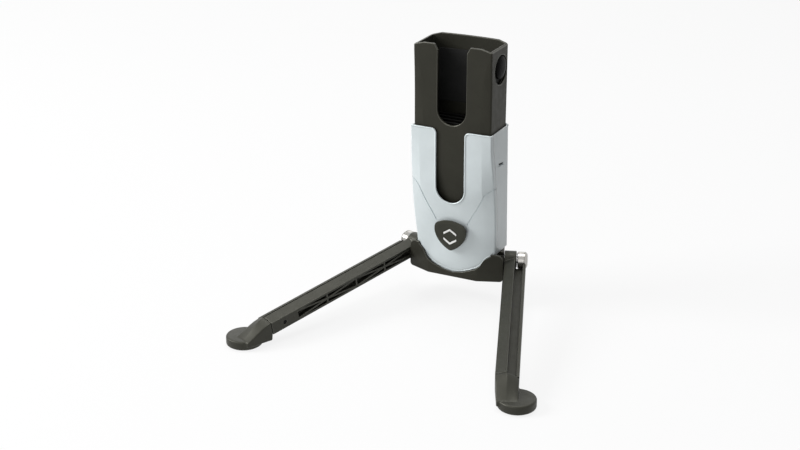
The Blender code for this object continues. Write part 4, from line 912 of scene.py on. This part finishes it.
def shells():
    """Both halves of the silver body come from one drawn body, split at the slanted parting line."""
    heights = between(BODY_STATIONS[0][0], SHELL_TOP, 31)
    rear = loft([shell_ring(z) for z in heights], True)
    inner = [heights[0] - PAST_END] + heights + [SHELL_TOP + PAST_END]
    cut(rear, loft([shell_ring(z, SHELL_WALL) for z in inner], True))
    front = bpy.data.objects.new("shape", rear.data.copy())
    bpy.context.scene.collection.objects.link(front)

    common(front, seam_region(-SEAM_GAP / 2, True))
    stem_hole = box(both(STEM_HALF_WIDTH + GAP), (-PAST_FRONT, 0), (STEM_LOW - GAP, STEM_HIGH + GAP))
    cut(front, window_shape(), skirt_shape(), stem_hole)
    rounded(front, SHELL_ROUNDING, 3, surfaces=(SILVER, SILVER_PAINTED_HIGHLIGHT))
    creases = [ribbon([(side * x, z) for x, z in CREASE], CREASE_WIDTH) for side in (-1, 1)]
    layer = skin(between(*CREASE_SPAN, 13), CREASE_DEPTH)
    cut(front, common(layer, prisms(creases, -PAST_FRONT, 0, FRONT_VIEW)))
    front_beads(front)
    finish_piece(front, "front_cover", "base", "front_shell")

    common(rear, seam_region(SEAM_GAP / 2, False))
    cut(rear, box(both(FAR), both(FAR), (0, BASE_TOP + GAP)))
    rounded(rear, SHELL_ROUNDING, 3, surfaces=(SILVER, SILVER_PAINTED_HIGHLIGHT))
    lean = Matrix.Translation((0, SNAP_Y, SNAP_Z)) @ Matrix.Rotation(SNAP_LEAN, 4, "X")
    wide, tall = SNAP_SIZE[0] / 2, SNAP_SIZE[1] / 2
    for side in (-1, 1):
        hole = sorted((side * (SHELL_SIDE - SNAP_DEPTH), side * (SHELL_SIDE + MM)))
        cut(rear, placed(box(hole, both(wide), both(tall)), lean))
        hook = sorted((side * (SHELL_SIDE - SHELL_WALL), side * (SHELL_SIDE - 0.3 * MM)))
        added(rear, placed(box(hook, both(wide - 0.5 * MM), (-tall - GAP, -tall / 2)), lean))
    half = top_edge(False)
    added(rear, tube(half + across(half[:-1]), BEAD_RADIUS))
    finish_piece(rear, "rear_cover", "base", "rear_shell")


# Base


AHEAD = Vector((math.sin(LEG_PLAN_ANGLE), -math.cos(LEG_PLAN_ANGLE), 0))
OUT = Vector((math.cos(LEG_PLAN_ANGLE), math.sin(LEG_PLAN_ANGLE), 0))
UPRIGHT = Matrix.Rotation(-math.pi / 2, 4, "Y")


def leg_frame(side):
    """From leg coordinates (outward, back along the leg, up) to the body frame; side is 1 or -1."""
    origin = AHEAD * HINGE_FORWARD + OUT * LEG_INNER
    origin.z = HINGE_Z
    place = Matrix.Translation(origin) @ Matrix.Rotation(LEG_PLAN_ANGLE, 4, "Z")
    return place if side > 0 else Matrix.Diagonal((-1, 1, 1, 1)) @ place


def base_outline():
    ear = (AHEAD * BASE_EAR_FRONT + OUT * BASE_SIDE).to_2d()
    heel = (OUT * BASE_SIDE - AHEAD * BASE_SIDE_BACK).to_2d()
    half = [(BASE_FRONT_HALF_WIDTH, -BASE_FRONT), tuple(ear), tuple(heel), (BASE_BACK_HALF_WIDTH, BASE_BACK)]
    return half + [(-x, y) for x, y in reversed(half)]


def base_side_cuts():
    """What shapes one side of the base, in leg coordinates: ledge, ear, both edges and the leg's trough."""
    side_x = BASE_SIDE - LEG_INNER
    lip_back = HINGE_FORWARD - BASE_EAR_FRONT + LIP_THICKNESS
    top, bottom = BASE_TOP - HINGE_Z, BASE_BOTTOM - HINGE_Z
    high, wide = 20 * MM, 12 * MM
    hump_z = HUMP_TOP - HINGE_Z - HUMP_RADIUS - 0.1 * MM
    hump = arc((side_x - HUMP_RADIUS, hump_z), HUMP_RADIUS, 90, 0, 10)
    hump += [(wide, hump[-1][1]), (wide, high), (hump[0][0], high)]
    edge_x = side_x - BASE_EDGE_RADIUS
    shoulder = arc((edge_x, top - BASE_EDGE_RADIUS), BASE_EDGE_RADIUS, 90, 0, 6)
    shoulder += [(wide, shoulder[-1][1]), (wide, high), (shoulder[0][0], high)]
    keel = arc((edge_x, bottom + BASE_EDGE_RADIUS), BASE_EDGE_RADIUS, 0, -90, 6)
    keel += [(keel[-1][0], -2 * high), (wide, -2 * high), (wide, keel[0][1])]
    return (
        box((-FAR, wide), (lip_back, FAR), (top, high)),
        prism(hump, -FAR, lip_back + 0.2 * MM, FRONT_VIEW),
        prism(shoulder, -FAR, FAR, FRONT_VIEW),
        prism(keel, -FAR, FAR, FRONT_VIEW),
        box((TROUGH_INNER - LEG_INNER, wide), (lip_back, HINGE_FORWARD - TROUGH_BACK),
            (TROUGH_FLOOR - HINGE_Z, high)),
    )


def base_cradle():
    body = prism(base_outline(), BASE_BOTTOM, HUMP_TOP, PLAN_VIEW)
    edge = between(-LIP_HALF_WIDTH, LIP_HALF_WIDTH, 72)
    high = HUMP_TOP + PAST_TOP
    above = [(LIP_HALF_WIDTH, high), (-LIP_HALF_WIDTH, high)]
    cut(body, prism([(x, lip_height(x)) for x in edge] + above, -FAR, SEAM_LOW_Y - MM, FRONT_VIEW))
    floor = BASE_BOTTOM + BASE_FLOOR
    nest = loft([shell_ring(z, -LIP_GAP) for z in between(floor - 0.5 * MM, HUMP_TOP + 4 * MM, 10)], True)
    common(nest, box(both(SKIRT_HALF_WIDTH + GAP), (-FAR, SEAM_LOW_Y), (0, 1)))
    tuck = [(x, max(lip_height(x) - SKIRT_TUCK - GAP, floor - 0.2 * MM)) for x in edge]
    common(nest, prism(tuck + above, -FAR, FAR, FRONT_VIEW))
    pocket = box(both(POCKET_HALF_WIDTH), (-POCKET_FRONT, POCKET_BACK), (floor, high))
    cut(body, nest, pocket)
    bore, recess = PIN_RADIUS + GAP, WASHER_RADIUS + GAP
    nut = NUT_FLATS / 2 / math.cos(math.radians(30)) + GAP
    hole, head = SCREW_RADIUS + GAP, SCREW_HEAD_RADIUS + GAP
    nut_seat, washer_seat = NUT_SEAT - LEG_INNER, BASE_SIDE - LEG_INNER - WASHER_RECESS
    head_top = BASE_BOTTOM + SCREW_HEAD_HEIGHT + GAP
    for side in (-1, 1):
        place = leg_frame(side)
        for shape in base_side_cuts():
            cut(body, placed(shape, place))
        cut(body, rod(-25 * MM, 6 * MM, bore, place, 32))
        cut(body, rod(-22 * MM, nut_seat, nut, place, 6))
        cut(body, rod(washer_seat, 6 * MM, recess, place, 32))
        for x, y in SCREW_PLACES:
            upright = Matrix.Translation((side * x, y, 0)) @ UPRIGHT
            cut(body, rod(0, FAR, hole, upright, 24))
            cut(body, rod(0, head_top, head, upright, 32))
    rounded(body, BASE_ROUNDING, 3)
    settled(body)
    finish_piece(body, "base_cradle", "base", "base_bracket")


# Button


def shield_outline(shrink):
    """The button's bowed shield from the front, its corners softened."""
    outline = list(SHIELD_STATIONS) + [(-x, z) for x, z in reversed(SHIELD_STATIONS[1:-1])]
    for _ in range(2):
        softer = []
        for a, b in zip(outline, outline[1:] + outline[:1]):
            softer += [tuple(Vector(a).lerp(Vector(b), 0.25)), tuple(Vector(a).lerp(Vector(b), 0.75))]
        outline = softer
    wide = 1 - shrink / BUTTON_HALF_WIDTH
    tall = 1 - 2 * shrink / (BUTTON_HIGH - BUTTON_LOW)
    return [(x * wide, SHIELD_CENTRE + (z - SHIELD_CENTRE) * tall) for x, z in outline]


def button_front(z):
    return min(-BUTTON_FRONT, shell_y(0, z) - BUTTON_RISE)


def mark_outline(centre, sign, margin):
    """A plain chevron."""
    half, bar = MARK_HALF_WIDTH + margin, MARK_BAR / 2 + margin
    low, high = centre - sign * MARK_RISE / 2, centre + sign * MARK_RISE / 2
    lift = sign * bar * 1.2
    return [(-half, low - lift), (0, high - lift), (half, low - lift),
            (half, low + lift), (0, high + lift), (-half, low + lift)]


def release_button():
    """A cap with a sloped border on its stem, with the two chevrons let into it."""
    rings = []
    for shrink, part in BUTTON_LAYERS:
        ring = []
        for x, z in shield_outline(shrink * MM):
            back = shell_y(0, z) - BUTTON_STANDOFF
            ring.append((x, back + (button_front(z) - back) * part, z))
        rings.append(ring)
    body = loft(rings, True)
    back = shell_y(0, STEM_LOW) - BUTTON_STANDOFF - 1.2 * MM
    join(body, box(both(STEM_HALF_WIDTH), (back, RISER_FRONT - GAP), (STEM_LOW, STEM_HIGH)))
    rows = between(BUTTON_LOW, BUTTON_HIGH, 12)
    slab = [(button_front(z) + MARK_DEPTH, z) for z in rows]
    slab += [(button_front(z) - 4 * MM, z) for z in reversed(rows)]
    for sign in (-1, 1):
        outline = mark_outline(MARK_CENTRE_Z + sign * MARK_PITCH, sign, GAP / 2)
        grown = prism(outline, -FAR, 0, FRONT_VIEW)
        cut(body, common(grown, prism(slab, -FAR, FAR, SIDE_VIEW)))
    finish_piece(body, "button_cap", "button", "release_button", surfaces=(BUTTON,),
                 sharp=50)


def spring():
    """Coil spring round its two spigots, drawn as one smooth wire."""
    low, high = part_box("button_spring")
    centre = (low + high) / 2
    wire = SPRING_WIRE_RADIUS
    radius = (high.x - low.x) / 2 - wire
    per_turn = 24
    steps = SPRING_TURNS * per_turn
    path = []
    for i in range(steps + 1):
        angle = 2 * math.pi * i / per_turn
        y = low.y + wire + (high.y - low.y - 2 * wire) * i / steps - BODY_Y
        path.append(Vector((centre.x + radius * math.cos(angle), y, centre.z + radius * math.sin(angle))))
    finish_piece(tube(path, wire, 12), "spring_coil", "base", "button_spring",
                 surfaces=(SPRING,))


# Hinges and legs


def hinge_pins():
    """Chromed pins with a rounded head, a turned groove and a hexagon recess."""
    start, seat, outer = PIN_INNER - LEG_INNER, PIN_HEAD_SEAT - LEG_INNER, PIN_HEAD_OUTER - LEG_INNER
    r = PIN_HEAD_RADIUS
    dome = outer - PIN_HEAD_DOME
    profile = [(start, PIN_RADIUS - 0.5 * MM), (start + 0.5 * MM, PIN_RADIUS), (seat, PIN_RADIUS),
               (seat + 0.01 * MM, r - 0.5 * MM), (seat + 0.5 * MM, r), (dome - 0.7 * MM, r),
               (dome - 0.5 * MM, r - PIN_GROOVE_DEPTH), (dome - 0.2 * MM, r - PIN_GROOVE_DEPTH), (dome, r)]
    for angle in range(8, 84, 8):
        a = math.radians(angle)
        profile.append((dome + PIN_HEAD_DOME * math.sin(a), r * (0.42 + 0.58 * math.cos(a))))
    for side, label in SIDES:
        body = turned(profile, leg_frame(side))
        cut(body, rod(outer - 2.2 * MM, outer + MM, PIN_HEXAGON, leg_frame(side), 6))
        finish_piece(body, f"pin_{label}", "base", f"hinge_pin_{label}", surfaces=(CHROME,),
                     sharp=32)


def clipped(outline, point, normal):
    """The part of a convex outline on the side of a line that its normal points to."""
    kept = []
    for a, b in zip(outline, outline[1:] + outline[:1]):
        near = (Vector(a) - point).dot(normal)
        far = (Vector(b) - point).dot(normal)
        if near >= 0:
            kept.append(a)
        if near * far < 0:
            kept.append(tuple(Vector(a).lerp(Vector(b), near / (near - far))))
    return kept


def truss_pockets(start, end, low, high):
    """The six openings that the crossed bars and the upright of one bay leave, from the side."""
    middle = Vector(((start + end) / 2, (low + high) / 2))
    bars = [Vector((end - start, rise)).normalized() for rise in (high - low, low - high)]
    normals = [Vector((-bar.y, bar.x)) for bar in bars]
    pockets = []
    for first in (-1, 1):
        for second in (-1, 1):
            shape = [(start, low), (end, low), (end, high), (start, high)]
            for normal, sign in zip(normals, (first, second)):
                shape = clipped(shape, middle + normal * sign * TRUSS_BAR / 2, normal * sign)
            if first != second:
                pockets.append(shape)
                continue
            for side in (Vector((-1, 0)), Vector((1, 0))):
                pockets.append(clipped(shape, middle + side * TRUSS_BAR / 2, side))
    return [p for p in pockets if len(p) > 2]


def leg_shape():
    """The right leg in leg coordinates, lying along -Y from its hinge axis."""
    outline = [(0, LEG_BOTTOM), (LEG_OUTER_X, LEG_BOTTOM), (LEG_OUTER_X, FLANGE_TOP_Z),
               (GROOVE_OUTER_X, FLANGE_TOP_Z), (GROOVE_OUTER_X, GROOVE_FLOOR_Z),
               (GROOVE_INNER_X, GROOVE_FLOOR_Z), (GROOVE_INNER_X, LEG_RIDGE_Z), (0, LEG_INNER_Z)]
    body = prism(outline, -LEG_LENGTH, 0, FRONT_VIEW)
    axis = Matrix.Identity(4)
    join(body, rod(0.1 * MM, KNUCKLE_WIDTH + MM, KNUCKLE_RADIUS, axis))
    cut(body, rod(KNUCKLE_WIDTH, FAR, PIN_HEAD_RADIUS + 0.8 * MM, axis))
    cut(body, rod(-MM, FAR, PIN_RADIUS + GAP, axis, 32))
    low, high = LEG_BOTTOM + TRUSS_RAIL, LEG_INNER_Z - TRUSS_RAIL
    pockets = []
    for bay in range(2):
        start = -TRUSS_START - bay * TRUSS_BAY - TRUSS_BAR / 2
        pockets += truss_pockets(start - TRUSS_BAY + TRUSS_BAR, start, low, high)
    cut(body, prisms(pockets, -MM, TRUSS_DEPTH, SIDE_VIEW))
    hole = Matrix.Translation((0, -CROSS_PIN_Y, CROSS_PIN_Z))
    cut(body, rod(-MM, 8 * MM, CROSS_PIN_RADIUS + GAP, hole, 32))
    return body


def soften(obj):
    """Blend a joined shape's edges and inner corners into one moulding."""
    remesh = obj.modifiers.new("remesh", "REMESH")
    remesh.mode = "VOXEL"
    remesh.voxel_size = BOOT_VOXEL
    smooth = obj.modifiers.new("smooth", "SMOOTH")
    smooth.factor = 0.5
    smooth.iterations = BOOT_SMOOTHING
    apply_modifiers(obj)


# Boot and sole are drawn level, then tilted into leg coordinates
LEVEL = Matrix.Rotation(-LEG_SLOPE, 4, "X")
PAD_AXIS = Matrix.Translation((FOOT_OUT - LEG_INNER, HINGE_FORWARD - FOOT_REACH, -HINGE_Z)) @ UPRIGHT


def neck_station(part):
    """The boot's section at one part of the way from the leg's end to the pad."""
    start = (LEG_LENGTH + GAP) * math.cos(LEG_SLOPE)
    ahead = start + (NECK_END - HINGE_FORWARD - start) * part
    drop = -ahead * math.tan(LEG_SLOPE)
    fall = math.cos(part * math.pi / 2)
    level_top = PAD_HEIGHT - HINGE_Z - 0.5 * MM

    def height(z):
        return level_top + (drop + z - level_top) * fall if part > 0 else drop + z

    inner = NECK_INSET * part
    bottom = NECK_BOTTOM - HINGE_Z
    if part == 0:
        bottom = max(drop + LEG_BOTTOM, bottom)
    lean = math.sin(LEG_SLOPE) * (1 - part)
    outline = [(inner, bottom), (LEG_OUTER_X, bottom), (LEG_OUTER_X, height(FLANGE_TOP_Z - MM)),
               (GROOVE_OUTER_X, height(FLANGE_TOP_Z + 0.8 * MM)), (GROOVE_INNER_X, height(LEG_RIDGE_Z)),
               (inner, height(LEG_INNER_Z))]
    return [(x, -ahead - (z - drop) * lean, z) for x, z in outline]


def boot_shape():
    """The right boot in leg coordinates: its neck closes the leg's groove and runs down to the round pad."""
    neck = loft([neck_station(i / NECK_STATIONS) for i in range(NECK_STATIONS + 1)])
    body = turned([(SOLE_PROUD, PAD_RADIUS - PAD_EDGE), (SOLE_PROUD + PAD_EDGE, PAD_RADIUS),
                   (PAD_HEIGHT - PAD_EDGE, PAD_RADIUS), (PAD_HEIGHT, PAD_RADIUS - PAD_EDGE)], PAD_AXIS)
    join(body, neck)
    soften(body)
    cut(body, rod(-MM, SOLE_HEIGHT + GAP, SOLE_RADIUS + GAP, PAD_AXIS))
    return placed(body, LEVEL)


def sole_shape():
    """Rubber sole with two round treads let into its underside."""
    body = rod(0.25 * MM, SOLE_HEIGHT, SOLE_RADIUS, PAD_AXIS)
    for part in TREAD_PARTS:
        ring = rod(-MM, TREAD_DEPTH, SOLE_RADIUS * (part + TREAD_WIDTH), PAD_AXIS)
        cut(body, cut(ring, rod(-2 * MM, 2 * MM, SOLE_RADIUS * part, PAD_AXIS)))
    join(body, rod(0, MM, SOLE_RADIUS * TREAD_FACE, PAD_AXIS))
    return placed(body, LEVEL)


def legs():
    for side, label in reversed(SIDES):
        hinge = Matrix.Translation(leg_frame(side).to_translation())
        place = (hinge @ Matrix.Rotation(side * LEG_PLAN_ANGLE, 4, "Z") @ Matrix.Rotation(LEG_SLOPE, 4, "X")
                 @ Matrix.Diagonal((side, 1, 1, 1)))
        body = f"{label}_leg"
        leg = rounded(leg_shape(), LEG_ROUNDING, 3, surfaces=(LEG_BLACK, LEG_PAINTED_HIGHLIGHT))
        finish_piece(placed(leg, place), f"leg_bar_{label}", body, f"leg_{label}")
        finish_piece(placed(boot_shape(), place), f"boot_{label}", body, f"foot_{label}",
                     surfaces=(LEG_BLACK,), sharp=60)
        sole = rounded(sole_shape(), RUBBER_ROUNDING, 2, surfaces=(RUBBER,))
        finish_piece(placed(sole, place), f"sole_{label}", body, f"foot_pad_{label}")


socket_tube()
rest_pad()
liners()
side_bumpers()
shells()
base_cradle()
release_button()
spring()
hinge_pins()
legs()
for kept, shown, width in (("height_rack", STEEL, 0.2), ("latch_housing", BLACK, 0.3), ("catch", STEEL, 0.2),
                           ("button_mark_lower", MARK, 0.1), ("button_mark_upper", MARK, 0.1)):
    dress_node(kept, shown, width)
for label in ("left", "right"):
    for kept, shown in (("rack_screw", STEEL), ("housing_screw", STEEL), ("shell_screw", STEEL),
                        ("hinge_nut", STEEL), ("hinge_washer", LINER), ("wave_washer", SPRING),
                        ("foot_pin", PIN_PAINTED_SHADE)):
        dress_node(f"{kept}_{label}", shown, 0.12)


# Floor, light and camera

FLOOR_REACH = 14
FLOOR_DARK_WAY = (0.95, -0.3, 0)
FLOOR_DARK_SPAN = {"From Min": -0.03, "From Max": 0.25, "To Min": 0.80, "To Max": 0.06}
AIM = (0, 0, 0.12)
# Name, place, size, power
LAMPS = (
    ("key", (-1.9, -1.05, 1.35), 1.1, 60),
    ("top", (-0.1, 0.35, 2.3), 1.2, 24),
    ("fill", (0.1, -2.2, 0.7), 1.4, 9),
    ("back", (-1.2, 1.8, 1.0), 1.3, 4),
)
CAMERA_PLACE = (0.4902, -1.1 + BODY_Y, 0.5587)
CAMERA_TURN = (math.radians(67.92), 0, math.radians(26.42))


def seen_or_lit(tree, lit, seen):
    """One look for the rays that light the object, another for those that show the backdrop."""
    ray = new_node(tree, "LightPath", {}).outputs
    share = ray["Is Camera Ray"]
    for other in ("Is Glossy Ray", "Is Transmission Ray"):
        share = new_node(tree, "Math", {0: share, 1: ray[other]}, "MAXIMUM").outputs[0]
    return new_node(tree, "MixShader", {0: share, 1: lit.outputs[0], 2: seen.outputs[0]}).outputs[0]


def plain_floor():
    """A pale floor that shows as near white, with the object's shadow on it.

    It sends less light back ahead on the right, which leaves the facets on that side darker.
    """
    corners = [(x * FLOOR_REACH, y * FLOOR_REACH, 0) for x, y in ((-1, -1), (1, -1), (1, 1), (-1, 1))]
    bm = bmesh.new()
    bm.faces.new([bm.verts.new(corner) for corner in corners])
    floor = drawn(bm)
    floor.name = "floor"
    made = bpy.data.materials.new("pale_floor")
    made.use_nodes = True
    tree = made.node_tree
    tree.nodes.clear()
    place = new_node(tree, "TexCoord", {}).outputs["Object"]
    aside = new_node(tree, "VectorMath", {0: place, 1: FLOOR_DARK_WAY}, "DOT_PRODUCT").outputs["Value"]
    bounce = new_node(tree, "MapRange", {"Value": aside, **FLOOR_DARK_SPAN}).outputs["Result"]
    lit = new_node(tree, "BsdfDiffuse", {"Color": bounce})
    pale = new_node(tree, "BsdfDiffuse", {"Color": (0.12, 0.12, 0.12, 1)})
    lift = new_node(tree, "Emission", {"Color": (0.85, 0.85, 0.85, 1)})
    seen = new_node(tree, "AddShader", {0: pale.outputs[0], 1: lift.outputs[0]})
    new_node(tree, "OutputMaterial", {"Surface": seen_or_lit(tree, lit, seen)})
    floor.data.materials.append(made)


def placed_in_scene(name, data, place):
    holder = bpy.data.objects.new(name, data)
    bpy.context.scene.collection.objects.link(holder)
    holder.location = place
    return holder


def studio_light():
    world = bpy.data.worlds.new("studio")
    bpy.context.scene.world = world
    world.use_nodes = True
    tree = world.node_tree
    tree.nodes.clear()
    soft = new_node(tree, "Background", {"Color": (0.17, 0.17, 0.175, 1)})
    white = new_node(tree, "Background", {"Color": (1, 1, 1, 1)})
    new_node(tree, "OutputWorld", {"Surface": seen_or_lit(tree, soft, white)})
    for name, place, size, power in LAMPS:
        lamp = bpy.data.lights.new(name, "AREA")
        lamp.size = size
        lamp.energy = power
        holder = placed_in_scene(name, lamp, place)
        holder.rotation_euler = (Vector(AIM) - Vector(place)).to_track_quat("-Z", "Y").to_euler()


def photo_camera():
    """The pinhole camera that was fitted to the photograph."""
    lens = bpy.data.cameras.new("camera")
    lens.lens = 67.5
    lens.sensor_width = 36
    lens.clip_start = 0.05
    lens.clip_end = 40
    camera = placed_in_scene("camera", lens, CAMERA_PLACE)
    camera.rotation_euler = CAMERA_TURN
    bpy.context.scene.camera = camera


plain_floor()
studio_light()
photo_camera()
bpy.context.scene.view_settings.view_transform = "Standard"
